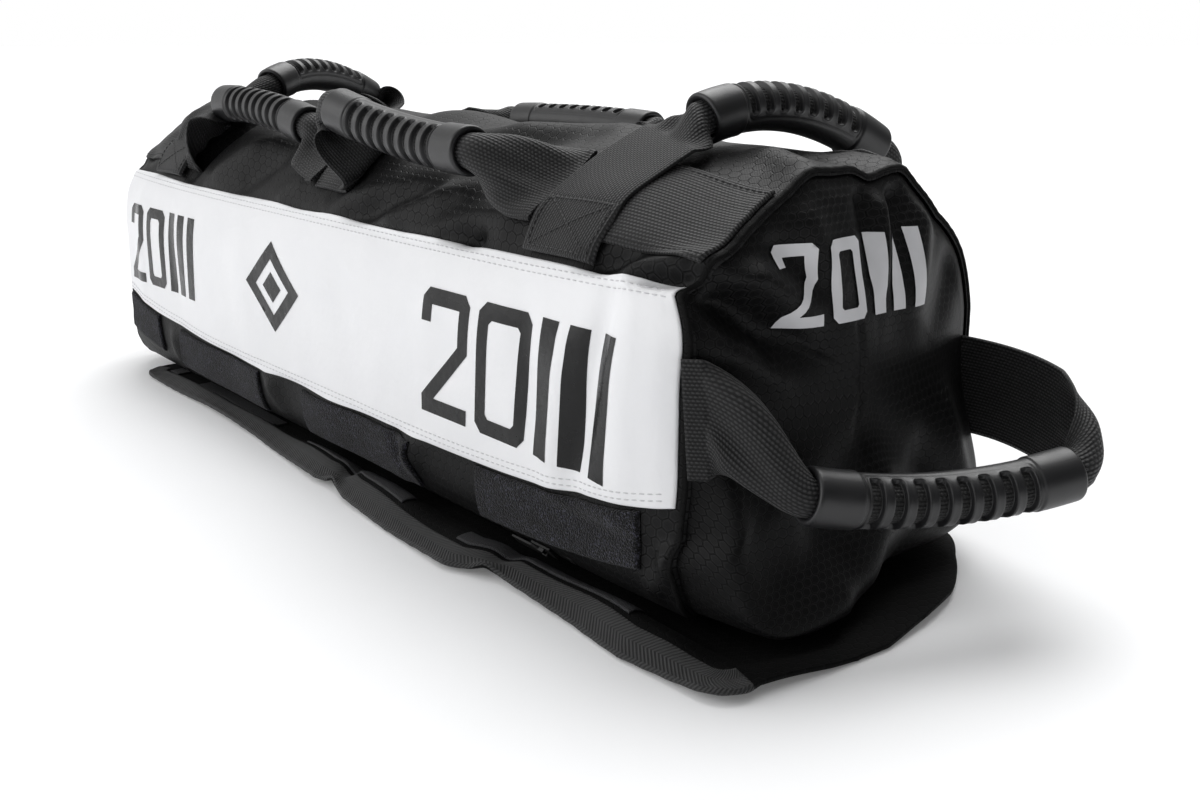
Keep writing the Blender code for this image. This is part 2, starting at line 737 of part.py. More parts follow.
def flap(fabric, tape, hook):
    """Closing flap: a stretch under the bag and one that folds up in front."""
    sheet_low = BINDING_TAPE + FIT_GAP
    sheet_high = sheet_low + FLAP_SHEET
    back_corner, front_corner = (FLAP_BACK_CORNER, FLAP_BACK_TAPER), (FLAP_FRONT_CORNER, FLAP_FRONT_CORNER)
    inner = flap_outline(-FLAP_FOLD + FIT_GAP, FLAP_BACK_DEPTH, back_corner=back_corner)
    plate("flap_inner", inner, 0.0, FLAP_THICKNESS, fabric)
    fold = pivot_at("pivot_flap_fold", Vector((0, -FLAP_FOLD, sheet_high)))
    front = flap_outline(-FLAP_FRONT_DEPTH, -FLAP_FOLD, front_corner=front_corner)
    plate("flap_front", front, sheet_low, sheet_high, fabric, fold)
    far_x = FLAP_SHIFT - FLAP_LENGTH / 2 + FLAP_FRONT_CORNER
    near_x = FLAP_SHIFT + FLAP_LENGTH / 2 - FLAP_FRONT_CORNER
    edge = -FLAP_FRONT_DEPTH - FIT_GAP
    back = -FLAP_FRONT_DEPTH + BINDING_WIDTH
    top = sheet_high + FIT_GAP
    profile = (
        (back, 0.0), (edge - BINDING_TAPE, 0.0), (edge - BINDING_TAPE, top + BINDING_TAPE),
        (back, top + BINDING_TAPE), (back, top), (edge, top), (edge, BINDING_TAPE), (back, BINDING_TAPE),
    )
    rings = [[Vector((x, y, z)) for y, z in profile] for x in (far_x, near_x)]
    loft("flap_binding", rings, tape, fold)
    for number, (start, end) in enumerate(patch_spans()):
        start = max(start, far_x)
        low, high = back + FIT_GAP, back + FIT_GAP + HOOK_WIDTH
        outline = ((start, low), (end, low), (end, high), (start, high))
        plate(f"hook_strip_{number + 1}", outline, top, top + HOOK_THICKNESS, hook, fold)


# Zip

def zip_fastener(tape, plastic):
    """Zip in the slot of the shell: tape, chain, stops, slider and pull."""
    half = tilt_of(TAPE_WIDTH, ZIP_ANGLE)
    base = -FABRIC - CHAIN_DROP
    below = base - FIT_GAP - TAPE_THICKNESS
    end = ZIP_LENGTH / 2
    tape_end = end + TAPE_WIDTH / 2
    zip_sheet = np.linspace(ZIP_ANGLE - half, ZIP_ANGLE + half, 9)
    stations = (-tape_end, tape_end)
    outer = [[skin(x, a, below + TAPE_THICKNESS) for a in zip_sheet] for x in stations]
    inner = [[skin(x, a, below) for a in zip_sheet] for x in stations]
    sheet("zip_tape", outer, inner, tape)
    chain_end = end - STOP_LENGTH - 2 * FIT_GAP
    teeth = int(2 * chain_end / TOOTH_PITCH)
    half_chain = tilt_of(CHAIN_WIDTH, ZIP_ANGLE)
    outer, inner = [], []
    for number in range(2 * teeth + 1):
        x = -chain_end + number * chain_end / teeth
        height = base + CHAIN_THICKNESS + (TOOTH_HEIGHT if number % 2 else 0)
        angles = np.linspace(ZIP_ANGLE - half_chain, ZIP_ANGLE + half_chain, 3)
        outer.append([skin(x, a, height) for a in angles])
        inner.append([skin(x, a, base) for a in angles])
    sheet("zip_chain", outer, inner, plastic)
    top = base + CHAIN_THICKNESS + TOOTH_HEIGHT
    half_width = CHAIN_WIDTH / 2
    for place, side in (("near", 1), ("far", -1)):
        span = (side * (end - STOP_LENGTH - FIT_GAP), side * (end - FIT_GAP))
        skin_block(f"zip_stop_{place}", span, (-half_width, half_width), (base, top), plastic)
    slide = pivot_at("pivot_zip_slider", Vector((0, 0, 0)))
    slide.location = skin(0, ZIP_ANGLE)
    seat = top + FIT_GAP
    crest = seat + SLIDER_PLATE
    slider(slide, seat, crest, plastic)
    pull_tab(crest + FIT_GAP, plastic)


def slider(pivot, seat, crest, plastic):
    """Slider plate with two ears for the pull tab."""
    sharp = FIT_GAP / 5
    inside, outside = EAR_SPACING / 2, EAR_SPACING / 2 + EAR_THICKNESS
    half = SLIDER_WIDTH / 2
    sides = (outside + sharp, outside, inside, inside - sharp)
    columns = [-half, *(-a for a in sides), *reversed(sides), half]
    ear = EAR_LENGTH / 2
    lengths = [-SLIDER_LENGTH / 2, -ear - sharp, -ear, ear, ear + sharp, SLIDER_LENGTH / 2]
    tall = crest + 2 * FIT_GAP + PULL_THICKNESS
    base, outward, ahead = skin_frame(0, ZIP_ANGLE)
    outer, inner = [], []
    for x in lengths:
        level = [tall if abs(x) <= ear and inside <= abs(a) <= outside else crest for a in columns]
        spot = base + Vector((SLIDER_REST_X + x, 0, 0))
        outer.append([spot + ahead * a + outward * h for a, h in zip(columns, level)])
        inner.append([spot + ahead * a + outward * seat for a in columns])
    return sheet("zip_slider", outer, inner, plastic, pivot=pivot)


def pull_tab(seat, plastic):
    """Pull tab held between the slider's ears."""
    base, outward, ahead = skin_frame(0, ZIP_ANGLE)
    place = base + Vector((SLIDER_REST_X, 0, 0)) + outward * (seat + PULL_THICKNESS / 2)
    pivot = pivot_at("pivot_zip_pull", place)
    narrow = EAR_SPACING / 2 - FIT_GAP
    wide = PULL_WIDTH / 2
    neck = EAR_LENGTH
    stations = ((PULL_HEEL, narrow), (-neck, narrow), (-2 * neck, wide), (-PULL_LENGTH, wide))
    rings = []
    for x, half in stations:
        corners = ((-1, -1), (1, -1), (1, 1), (-1, 1))
        spot = place + Vector((x, 0, 0))
        rings.append([spot + ahead * (half * a) + outward * (PULL_THICKNESS / 2 * b) for a, b in corners])
    return loft("zip_pull", rings, plastic, pivot)


def patch_spans():
    """Stations of the loop patches along the bag."""
    start = -HALF_LENGTH + FIT_GAP
    end = start + PATCH_FAR_LENGTH
    spans = []
    for number in range(PATCH_COUNT):
        spans.append((start, end))
        start = end + (PATCH_FAR_GAP if number == 0 else PATCH_GAP)
        end = min(start + PATCH_LENGTH, HALF_LENGTH - PATCH_NEAR_MARGIN)
    return spans


def main():
    """Build the whole trainer."""
    clear_scene()
    fabric = material("ripstop_fabric", (0.018, 0.018, 0.020), 0.85)
    vinyl = material("white_vinyl", (0.80, 0.80, 0.82), 0.35)
    pile = material("loop_pile", (0.012, 0.012, 0.020), 0.95)
    webbing = material("webbing", (0.030, 0.030, 0.032), 0.80)
    plastic = material("grip_plastic", (0.022, 0.022, 0.024), 0.45)
    canvas = material("filler_canvas", (0.10, 0.10, 0.10), 0.9)
    tape = material("binding_tape", (0.035, 0.035, 0.036), 0.85)
    hook = material("hook_tape", (0.010, 0.010, 0.012), 0.70)
    shell_body(fabric)
    end_panel("end_panel_near", 1, fabric)
    end_panel("end_panel_far", -1, fabric)
    fillers(canvas)
    band(vinyl)
    loop_patches(pile)
    straps(webbing)
    handles(webbing, plastic)
    flap(fabric, tape, hook)
    zip_fastener(tape, plastic)


main()
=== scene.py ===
# %% [markdown]
# # A sandbag trainer
#
# The real thing is a fabric tube filled with sand. It is sewn from black
# ripstop, carries a white band along its front, and has seven webbing handles
# with moulded grips. This lesson dresses the plain CAD solids of that bag.
# Everything is in metres: X runs along the bag, the front faces -Y, Z is up.
#
# The solids are loaded first. They never move, and every new surface below is
# placed in the same frame, so nothing has to be fitted by eye.

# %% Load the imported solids
import math

import bpy
import numpy as np
from mathutils import Matrix, Vector
from mathutils.geometry import delaunay_2d_cdt


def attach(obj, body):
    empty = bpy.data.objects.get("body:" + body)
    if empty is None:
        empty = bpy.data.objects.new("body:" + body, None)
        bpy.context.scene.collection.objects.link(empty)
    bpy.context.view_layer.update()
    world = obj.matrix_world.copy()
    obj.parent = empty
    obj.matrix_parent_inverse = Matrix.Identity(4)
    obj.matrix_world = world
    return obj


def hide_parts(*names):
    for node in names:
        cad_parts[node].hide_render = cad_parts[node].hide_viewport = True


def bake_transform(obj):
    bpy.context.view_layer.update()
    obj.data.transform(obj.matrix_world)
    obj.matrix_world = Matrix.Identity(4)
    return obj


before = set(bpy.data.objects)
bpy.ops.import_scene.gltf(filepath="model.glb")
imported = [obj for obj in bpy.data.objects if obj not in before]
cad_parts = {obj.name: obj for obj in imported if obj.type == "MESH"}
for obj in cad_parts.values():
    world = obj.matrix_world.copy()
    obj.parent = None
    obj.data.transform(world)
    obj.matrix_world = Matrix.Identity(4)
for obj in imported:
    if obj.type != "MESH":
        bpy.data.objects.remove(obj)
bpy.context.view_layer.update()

# %% [markdown]
# ## The camera
#
# The photograph looks down on the bag's near end from the front. The camera
# stands where the straight edges of the bag line up with the photograph. Its
# sensor is as wide as its focal length, which makes the picture 1200 pixels
# wide for a focal length of 1200 pixels.

# %% Camera
CAMERA_PLACE = Vector((0.6301, -0.4231, 0.2496))
CAMERA_TURN = math.radians(49.37)
CAMERA_DOWN = math.radians(16.87)


def make_camera():
    """Camera whose right, up and backward directions are the matrix columns."""
    data = bpy.data.cameras.new("photo_camera")
    data.lens, data.sensor_width = 36.0, 36.0
    data.clip_start, data.clip_end = 0.02, 60.0
    camera = bpy.data.objects.new("photo_camera", data)
    bpy.context.scene.collection.objects.link(camera)
    right = Vector((math.cos(CAMERA_TURN), math.sin(CAMERA_TURN), 0))
    level = Vector((-math.sin(CAMERA_TURN), math.cos(CAMERA_TURN), 0))
    ahead = level * math.cos(CAMERA_DOWN) - Vector((0, 0, math.sin(CAMERA_DOWN)))
    columns = Matrix((right, right.cross(ahead), -ahead)).transposed()
    camera.matrix_world = Matrix.Translation(CAMERA_PLACE) @ columns.to_4x4()
    bpy.context.scene.camera = camera


make_camera()
print("camera at", [round(v, 3) for v in CAMERA_PLACE])

# %% [markdown]
# ## The studio
#
# A white table and a white room. Two sun lamps with very large discs stand for
# soft boxes: a low one in front lights the band, and a high one behind throws
# the soft shadow to the front. The world fills in the rest. It is brighter
# behind and above the bag than on the camera's side, and that puts the grey
# sheen on the top of the fabric. Light Path's Is Camera Ray keeps the
# background plain white.

# %% Small helpers for shader nodes
def add_node(tree, kind, inputs=None, **settings):
    """Shader node of a kind, with its settings and unlinked inputs filled in."""
    made = tree.nodes.new(kind)
    for key, value in settings.items():
        setattr(made, key, value)
    for key, value in (inputs or {}).items():
        if isinstance(value, bpy.types.NodeSocket):
            tree.links.new(value, made.inputs[key])
        else:
            made.inputs[key].default_value = value
    return made


def calc(tree, operation, *values):
    """Result socket of one Math node."""
    made = add_node(tree, "ShaderNodeMath", dict(enumerate(values)), operation=operation)
    return made.outputs[0]


def between(tree, value, low, high):
    """Smooth step of a value, 0 below low and 1 above high."""
    made = add_node(tree, "ShaderNodeMapRange", {"Value": value, "From Min": low, "From Max": high},
                    interpolation_type="SMOOTHSTEP")
    return made.outputs["Result"]


def blend_colour(tree, share, first, second):
    """Colour that goes from the first to the second with a share."""
    made = add_node(tree, "ShaderNodeMix", {"Factor": share}, data_type="RGBA")
    for socket, colour in (("A_Color", first), ("B_Color", second)):
        target = next(s for s in made.inputs if s.identifier == socket)
        if isinstance(colour, bpy.types.NodeSocket):
            tree.links.new(colour, target)
        else:
            target.default_value = (*colour, 1.0)
    return next(s for s in made.outputs if s.identifier == "Result_Color")


# %% World, lamps and floor
def make_world():
    """White for the camera, and a soft light that is brighter at the back."""
    world = bpy.data.worlds.new("white_room")
    bpy.context.scene.world = world
    world.use_nodes = True
    tree = world.node_tree
    tree.nodes.clear()
    way = add_node(tree, "ShaderNodeTexCoord").outputs["Generated"]
    facing = add_node(tree, "ShaderNodeVectorMath", {0: way, 1: (-0.80, -0.10, 0.58)},
                      operation="DOT_PRODUCT")
    glow = between(tree, facing.outputs["Value"], -0.5, 0.9)
    strength = calc(tree, "MULTIPLY_ADD", glow, 0.62, 0.07)
    path = add_node(tree, "ShaderNodeLightPath").outputs["Is Camera Ray"]
    dim = calc(tree, "SUBTRACT", 1.0, path)
    total = calc(tree, "MULTIPLY_ADD", strength, dim, path)
    light = add_node(tree, "ShaderNodeBackground", {"Color": (1, 1, 1, 1), "Strength": total})
    end = add_node(tree, "ShaderNodeOutputWorld")
    tree.links.new(light.outputs[0], end.inputs["Surface"])


def make_sun(name, place, strength, disc):
    """Sun lamp shining from a place to the bag, with a disc in degrees."""
    data = bpy.data.lights.new(name, "SUN")
    data.energy, data.angle = strength, math.radians(disc)
    lamp = bpy.data.objects.new(name, data)
    bpy.context.scene.collection.objects.link(lamp)
    lamp.rotation_mode = "QUATERNION"
    lamp.rotation_quaternion = Vector(place).to_track_quat("Z", "Y")


def make_floor():
    """White table that takes the shadow and looks nearly white itself."""
    mesh = bpy.data.meshes.new("studio_floor")
    reach, low = 30.0, -0.0003
    mesh.from_pydata([(-reach, -reach, low), (reach, -reach, low), (reach, reach, low), (-reach, reach, low)],
                     [], [(0, 1, 2, 3)])
    floor = bpy.data.objects.new("studio_floor", mesh)
    bpy.context.scene.collection.objects.link(floor)
    made = bpy.data.materials.new("table_white")
    made.use_nodes = True
    tree = made.node_tree
    surface = tree.nodes["Principled BSDF"]
    surface.inputs["Base Color"].default_value = (0.89, 0.895, 0.905, 1)
    surface.inputs["Roughness"].default_value = 0.7
    surface.inputs["Emission Color"].default_value = (1, 1, 1, 1)
    path = add_node(tree, "ShaderNodeLightPath")
    seen = calc(tree, "MAXIMUM", path.outputs["Is Camera Ray"], path.outputs["Is Glossy Ray"])
    tree.links.new(calc(tree, "MULTIPLY", seen, 0.10), surface.inputs["Emission Strength"])
    mesh.materials.append(made)


make_world()
make_sun("key_softbox", (-0.45, -0.80, 0.30), 1.30, 60)
make_sun("back_softbox", (-0.40, 0.55, 1.00), 2.35, 50)
make_floor()
scene = bpy.context.scene
scene.view_settings.view_transform = "Standard"
print("studio with a white room, two soft lamps and a table")

# %% [markdown]
# ## Finishes
#
# Black cloth is easy to lose in a render, so each finish is built from what
# its surface really has: the hexagon grid of the ripstop, the ribs of the
# webbing, the herringbone of the binding tape, the fuzz of the loop patches.
# All cloth patterns read a UV map that is laid out in metres along and across
# the piece, so a 1.6 mm rib is 1.6 mm wide on every strap.

# %% Start of every finish
def new_finish(name, colour, roughness):
    """Material with its tree and its shader, set to one colour."""
    made = bpy.data.materials.new(name)
    made.use_nodes = True
    tree = made.node_tree
    shader = tree.nodes["Principled BSDF"]
    shader.inputs["Base Color"].default_value = (*colour, 1)
    shader.inputs["Roughness"].default_value = roughness
    return made, tree, shader


def cloth_uv(tree):
    """The piece's own UV map, in metres."""
    return add_node(tree, "ShaderNodeUVMap", uv_map="cloth").outputs["UV"]


def put_bump(tree, shader, height, depth, before=None):
    """Bump of a height socket whose full swing is a depth in metres."""
    inputs = {"Height": height, "Distance": depth, "Strength": 1.0}
    if before is not None:
        inputs["Normal"] = before
    made = add_node(tree, "ShaderNodeBump", inputs)
    tree.links.new(made.outputs[0], shader.inputs["Normal"])
    return made.outputs[0]


def mottle(tree, where, scale, detail=3.0):
    """Soft random value round one half."""
    made = add_node(tree, "ShaderNodeTexNoise", {"Vector": where, "Scale": scale, "Detail": detail})
    return made.outputs["Fac"]


# %% [markdown]
# ### Ripstop with a hexagon grid
#
# A hexagon lattice is two rectangular lattices, one shifted by half a cell. The
# nearer of the two centres owns the point, and the distance to the hexagon's
# edge is a maximum of two dot products. The thicker threads lie in that edge:
# they are a little sunk, painted darker as shade in the groove, with a thin
# painted highlight along each side.

# %% Ripstop
HEX_PITCH = 0.0056


def hexagon_edge(tree, where, pitch):
    """Distance to the nearest hexagon edge, 0 there and one half at a centre."""
    def vector(operation, *values):
        """Result socket of one Vector Math node."""
        made = add_node(tree, "ShaderNodeVectorMath", dict(enumerate(values)), operation=operation)
        return made.outputs["Value"] if operation == "DOT_PRODUCT" else made.outputs["Vector"]

    cell, half = (1.0, 3**0.5, 1.0), (0.5, 3**0.5 / 2, 0.5)
    far = (400.0, 400.0, 400.25)
    place = vector("MULTIPLY_ADD", where, (1 / pitch, 1 / pitch, 0), far)
    first = vector("SUBTRACT", vector("MODULO", place, cell), half)
    second = vector("SUBTRACT", vector("MODULO", vector("SUBTRACT", place, half), cell), half)
    to_first, to_second = vector("DOT_PRODUCT", first, first), vector("DOT_PRODUCT", second, second)
    nearer = calc(tree, "LESS_THAN", to_first, to_second)
    chosen = add_node(tree, "ShaderNodeMix", {"Factor": nearer}, data_type="VECTOR")
    for socket, value in (("A_Vector", second), ("B_Vector", first)):
        tree.links.new(value, next(s for s in chosen.inputs if s.identifier == socket))
    folded = vector("ABSOLUTE", next(s for s in chosen.outputs if s.identifier == "Result_Vector"))
    slanted = vector("DOT_PRODUCT", folded, (0.5, 3**0.5 / 2, 0))
    upright = vector("DOT_PRODUCT", folded, (1, 0, 0))
    return calc(tree, "SUBTRACT", 0.5, calc(tree, "MAXIMUM", slanted, upright))


def make_ripstop(name, base, line, rim, roughness):
    """Woven nylon with a hexagon grid of thicker threads, painted shade in the grid and a painted highlight
    beside it.
    """
    made, tree, shader = new_finish(name, base, roughness)
    where = cloth_uv(tree)
    edge = hexagon_edge(tree, where, HEX_PITCH)
    # The line colour is painted shade in the sunk grid threads, and the rim colour beside them is a painted
    # highlight.
    groove = between(tree, edge, 0.075, 0.02)
    beside = calc(tree, "MULTIPLY", between(tree, edge, 0.05, 0.10), between(tree, edge, 0.20, 0.11))
    worn = mottle(tree, where, 38.0)
    cloud = blend_colour(tree, worn, [c * 0.72 for c in base], [c * 1.28 for c in base])
    lit = blend_colour(tree, calc(tree, "MULTIPLY", beside, 0.70), cloud, rim)
    colour = blend_colour(tree, calc(tree, "MULTIPLY", groove, 0.95), lit, line)
    tree.links.new(colour, shader.inputs["Base Color"])
    weave = add_node(tree, "ShaderNodeTexWave", {"Vector": where, "Scale": 420.0, "Distortion": 0.6},
                     wave_type="BANDS", bands_direction="DIAGONAL")
    fine = put_bump(tree, shader, weave.outputs["Fac"], 0.00003)
    put_bump(tree, shader, calc(tree, "MULTIPLY", groove, -1.0), 0.00020, fine)
    shader.inputs["Sheen Weight"].default_value = 0.008
    shader.inputs["Sheen Roughness"].default_value = 0.35
    shader.inputs["Specular IOR Level"].default_value = 0.14
    return made


# Colours: the cloth, the painted shade of the grid lines, the painted highlight beside them.
RIPSTOP = make_ripstop("ripstop_fabric", (0.0034, 0.0034, 0.0036), (0.0002, 0.0002, 0.0002),
                       (0.0150, 0.0150, 0.0156), 0.48)
# A darker, rougher copy of the ripstop is painted shade: for the flap in the bag's shade, and for the end
# seams in their crease.
RIPSTOP_SHADED = make_ripstop("shaded_ripstop", (0.0012, 0.0012, 0.0013), (0.0005, 0.0005, 0.0005),
                             (0.0022, 0.0022, 0.0022), 0.75)
print("ripstop grid", round(1000 * HEX_PITCH, 1), "mm")

# %% [markdown]
# ### Webbing, binding and thread
#
# Webbing is woven in ribs along its length, and each rib is broken into short
# floats that sit half a step beside those of the next rib. Two sines and a
# shifted phase give that lattice, and its hollows are painted darker as shade.
# The binding tape is a herringbone: slanted lines that turn back every few
# millimetres, with painted shade between its ridges.

# %% Webbing
RIB_PITCH, FLOAT_PITCH = 0.00160, 0.0019
RIDGE_PITCH, TURN_BACK = 0.0021, 0.0060


def make_webbing(name, valley_shade, crest, roughness=0.62):
    """Ribbed webbing, its floats staggered from rib to rib, with painted shade in the hollows."""
    made, tree, shader = new_finish(name, crest, roughness)
    where = add_node(tree, "ShaderNodeSeparateXYZ", {"Vector": cloth_uv(tree)})
    along, across = where.outputs["X"], where.outputs["Y"]
    rib = calc(tree, "SINE", calc(tree, "MULTIPLY", across, 2 * math.pi / RIB_PITCH))
    rib = calc(tree, "MULTIPLY_ADD", rib, 0.5, 0.5)
    row = calc(tree, "FLOOR", calc(tree, "DIVIDE", calc(tree, "ADD", across, 1 + RIB_PITCH / 4), RIB_PITCH))
    phase = calc(tree, "MULTIPLY_ADD", along, 2 * math.pi / FLOAT_PITCH, calc(tree, "MULTIPLY", row, math.pi))
    floats = calc(tree, "MULTIPLY_ADD", calc(tree, "SINE", phase), 0.5, 0.5)
    height = calc(tree, "MULTIPLY", rib, calc(tree, "MULTIPLY_ADD", floats, 0.62, 0.38))
    worn = mottle(tree, cloth_uv(tree), 60.0)
    rubbed = calc(tree, "MULTIPLY_ADD", worn, 0.7, 0.65)
    # Colour runs from the painted shade of the hollows to the crest colour with the height of the weave.
    light = calc(tree, "MULTIPLY", between(tree, height, 0.18, 0.72), rubbed)
    tree.links.new(blend_colour(tree, light, valley_shade, crest), shader.inputs["Base Color"])
    put_bump(tree, shader, height, 0.00042)
    shader.inputs["Sheen Weight"].default_value = 0.06
    shader.inputs["Sheen Roughness"].default_value = 0.45
    shader.inputs["Specular IOR Level"].default_value = 0.32
    return made


def make_binding(name):
    """Herringbone tape: slanted ridges that turn back in strips, with painted shade between the ridges."""
    made, tree, shader = new_finish(name, (0.035, 0.035, 0.036), 0.75)
    where = add_node(tree, "ShaderNodeSeparateXYZ", {"Vector": cloth_uv(tree)})
    along, across = where.outputs["X"], where.outputs["Y"]
    zigzag = calc(tree, "PINGPONG", across, TURN_BACK)
    slanted = calc(tree, "MULTIPLY", calc(tree, "ADD", along, zigzag), 2 * math.pi / RIDGE_PITCH)
    ridge = calc(tree, "MULTIPLY_ADD", calc(tree, "SINE", slanted), 0.5, 0.5)
    # Colour follows the ridges: painted shade in the troughs, the tape's own colour on top.
    colour = blend_colour(tree, ridge, (0.0020, 0.0020, 0.0022), (0.034, 0.034, 0.035))
    tree.links.new(colour, shader.inputs["Base Color"])
    put_bump(tree, shader, ridge, 0.00030)
    shader.inputs["Sheen Weight"].default_value = 0.08
    return made


# Webbing colours: painted shade in the hollows, then the crests' own colour.
WEBBING = make_webbing("webbing", (0.0030, 0.0030, 0.0033), (0.034, 0.034, 0.035))
# A darker copy of the webbing stands for the strap seen through the grips' slots, with painted shade for the
# inside of the slots.
WEBBING_SHADED = make_webbing("webbing_painted_shade_in_slots", (0.0015, 0.0015, 0.0015), (0.014, 0.014, 0.0143))
BINDING = make_binding("binding_tape")
THREAD_WHITE = new_finish("white_thread", (0.62, 0.62, 0.64), 0.5)[0]
THREAD_GREY = new_finish("dark_thread", (0.030, 0.030, 0.031), 0.6)[0]
print("webbing ribs", round(1000 * RIB_PITCH, 1), "mm apart, herringbone", round(1000 * RIDGE_PITCH, 1), "mm")

# %% [markdown]
# ### Loop pile, vinyl, plastic and print
#
# The loop patches are a mat of tiny nylon loops: near black with a hint of
# blue, light specks on the raised loops as painted glints, and a strong bump.
# The band is coated cloth, smooth with a soft gloss.
# The grips are a rubbery plastic, almost plain, with a very fine grain.

# %% Loop pile, vinyl, plastic and print
def make_pile():
    """Fuzzy loops on near black, with light specks on the raised loops as painted glints."""
    made, tree, shader = new_finish("loop_pile", (0.012, 0.012, 0.018), 0.9)
    where = add_node(tree, "ShaderNodeTexCoord").outputs["Object"]
    speck = add_node(tree, "ShaderNodeTexVoronoi", {"Vector": where, "Scale": 1050.0})
    fuzz = mottle(tree, where, 1050.0)
    tuft = mottle(tree, where, 160.0)
    # Light specks sit where the pile is raised: painted glints on the loop tops.
    light = calc(tree, "MULTIPLY", between(tree, fuzz, 0.50, 0.66), between(tree, tuft, 0.20, 0.7))
    colour = blend_colour(tree, light, (0.0010, 0.0010, 0.0018), (0.055, 0.055, 0.078))
    tree.links.new(colour, shader.inputs["Base Color"])
    put_bump(tree, shader, calc(tree, "SUBTRACT", fuzz, speck.outputs["Distance"]), 0.0007)
    shader.inputs["Sheen Weight"].default_value = 0.12
    shader.inputs["Sheen Roughness"].default_value = 0.5
    shader.inputs["Specular IOR Level"].default_value = 0.2
    return made


def make_vinyl():
    """White coated cloth with faint clouds and a soft gloss."""
    made, tree, shader = new_finish("white_vinyl", (0.83, 0.835, 0.85), 0.42)
    where = cloth_uv(tree)
    cloud = mottle(tree, where, 22.0)
    colour = blend_colour(tree, cloud, (0.79, 0.795, 0.815), (0.87, 0.872, 0.885))
    tree.links.new(colour, shader.inputs["Base Color"])
    soft = put_bump(tree, shader, mottle(tree, where, 55.0), 0.0009)
    put_bump(tree, shader, mottle(tree, where, 900.0, 2.0), 0.00003, soft)
    shader.inputs["Specular IOR Level"].default_value = 0.45
    return made


def make_plastic(name, colour, roughness, grain, gloss=0.5, dents=0.0):
    """Moulded plastic or print with a fine grain and slightly uneven gloss."""
    made, tree, shader = new_finish(name, colour, roughness)
    where = add_node(tree, "ShaderNodeTexCoord").outputs["Object"]
    rub = mottle(tree, where, 140.0)
    tree.links.new(calc(tree, "MULTIPLY_ADD", rub, 0.16, roughness - 0.08), shader.inputs["Roughness"])
    darker, lighter = [c * 0.85 for c in colour], [c * 1.18 for c in colour]
    tint = blend_colour(tree, mottle(tree, where, 60.0), darker, lighter)
    tree.links.new(tint, shader.inputs["Base Color"])
    soft = put_bump(tree, shader, mottle(tree, where, 45.0), dents)
    put_bump(tree, shader, mottle(tree, where, 2600.0, 2.0), grain, soft)
    shader.inputs["Specular IOR Level"].default_value = gloss
    return made


PILE = make_pile()
VINYL = make_vinyl()
GRIP_PLASTIC = make_plastic("grip_plastic", (0.0105, 0.0105, 0.0115), 0.40, 0.00005)
# The zip's plastic is black, made darker than the grips' by painted shade for the shadowed gap under the
# bag's front.
ZIP_PLASTIC_SHADED = make_plastic("zip_plastic_painted_shade", (0.004, 0.004, 0.0043), 0.55, 0.00003)
PRINT_BLACK = make_plastic("black_print", (0.0045, 0.0045, 0.0048), 0.26, 0.00002, gloss=0.24, dents=0.0012)
PRINT_WHITE = make_plastic("white_print", (0.66, 0.66, 0.68), 0.40, 0.00002)
# The canvas's first colour is painted shade in its hollows, as on the webbing.
CANVAS = make_webbing("filler_canvas", (0.06, 0.06, 0.055), (0.12, 0.12, 0.11), 0.9)
print("finishes for pile, vinyl, grips, zip, print and canvas")

# %% [markdown]
# ## The bag's surface
#
# Everything sewn on the bag lies on one surface, so that surface is a function
# of two values: the place along the bag and the angle round it. Its section is
# a superellipse, rounder on top than below, where sand squares it off. Folds
# are added to the same function. A band or a strap computed from it follows
# every fold of the cloth underneath without any modifier.

# %% Section of the bag
HALF_LENGTH, HALF_WIDTH, HALF_HEIGHT = 0.303, 0.103, 0.0985
MIDDLE_Z = 0.1022
UPPER_POWER, LOWER_POWER = 2.3, 8.0
ZIP_ANGLE = -43.2


def section(angle):
    """Place and outward normal (y, z) on |y/a|^p + |z/b|^p = 1 at an angle."""
    turn = np.radians(angle)
    across, up = -np.cos(turn), np.sin(turn)
    power = np.where(up > 0, UPPER_POWER, LOWER_POWER)
    reach = (np.abs(across / HALF_WIDTH) ** power + np.abs(up / HALF_HEIGHT) ** power) ** (-1 / power)
    y, z = reach * across, reach * up
    normal_y = np.sign(y) * np.abs(y / HALF_WIDTH) ** (power - 1) / HALF_WIDTH
    normal_z = np.sign(z) * np.abs(z / HALF_HEIGHT) ** (power - 1) / HALF_HEIGHT
    size = np.hypot(normal_y, normal_z)
    return y, z, normal_y / size, normal_z / size


ROUND = np.linspace(-270, 450, 7201)
_round_y, _round_z = section(ROUND)[:2]
_steps = np.hypot(np.diff(_round_y), np.diff(_round_z))
ROUND_LENGTH = np.concatenate([[0], np.cumsum(_steps)])
ROUND_LENGTH -= np.interp(0, ROUND, ROUND_LENGTH)
GIRTH = float(np.interp(360, ROUND, ROUND_LENGTH))


def girth_at(angle):
    """Length of cloth from the front level to an angle."""
    return np.interp(angle, ROUND, ROUND_LENGTH)


def angle_at(length):
    """Angle at a length of cloth from the front level."""
    return np.interp(length, ROUND_LENGTH, ROUND)


def unit(vectors):
    """Vectors made one long."""
    vectors = np.asarray(vectors, float)
    return vectors / np.linalg.norm(vectors, axis=-1, keepdims=True)


def smooth(value):
    """Smooth change from 0 to 1."""
    value = np.clip(value, 0.0, 1.0)
    return value * value * (3 - 2 * value)


print("girth of the bag", round(GIRTH, 3))

# %% [markdown]
# ### Folds
#
# A fold is a short ridge or hollow: it has two ends, a width and a height. The
# distance from a point of the cloth to the line between the ends gives its
# height there, with a bell curve across it and a soft fade at the ends. The
# folds of the photograph are listed by their places along and round the bag.

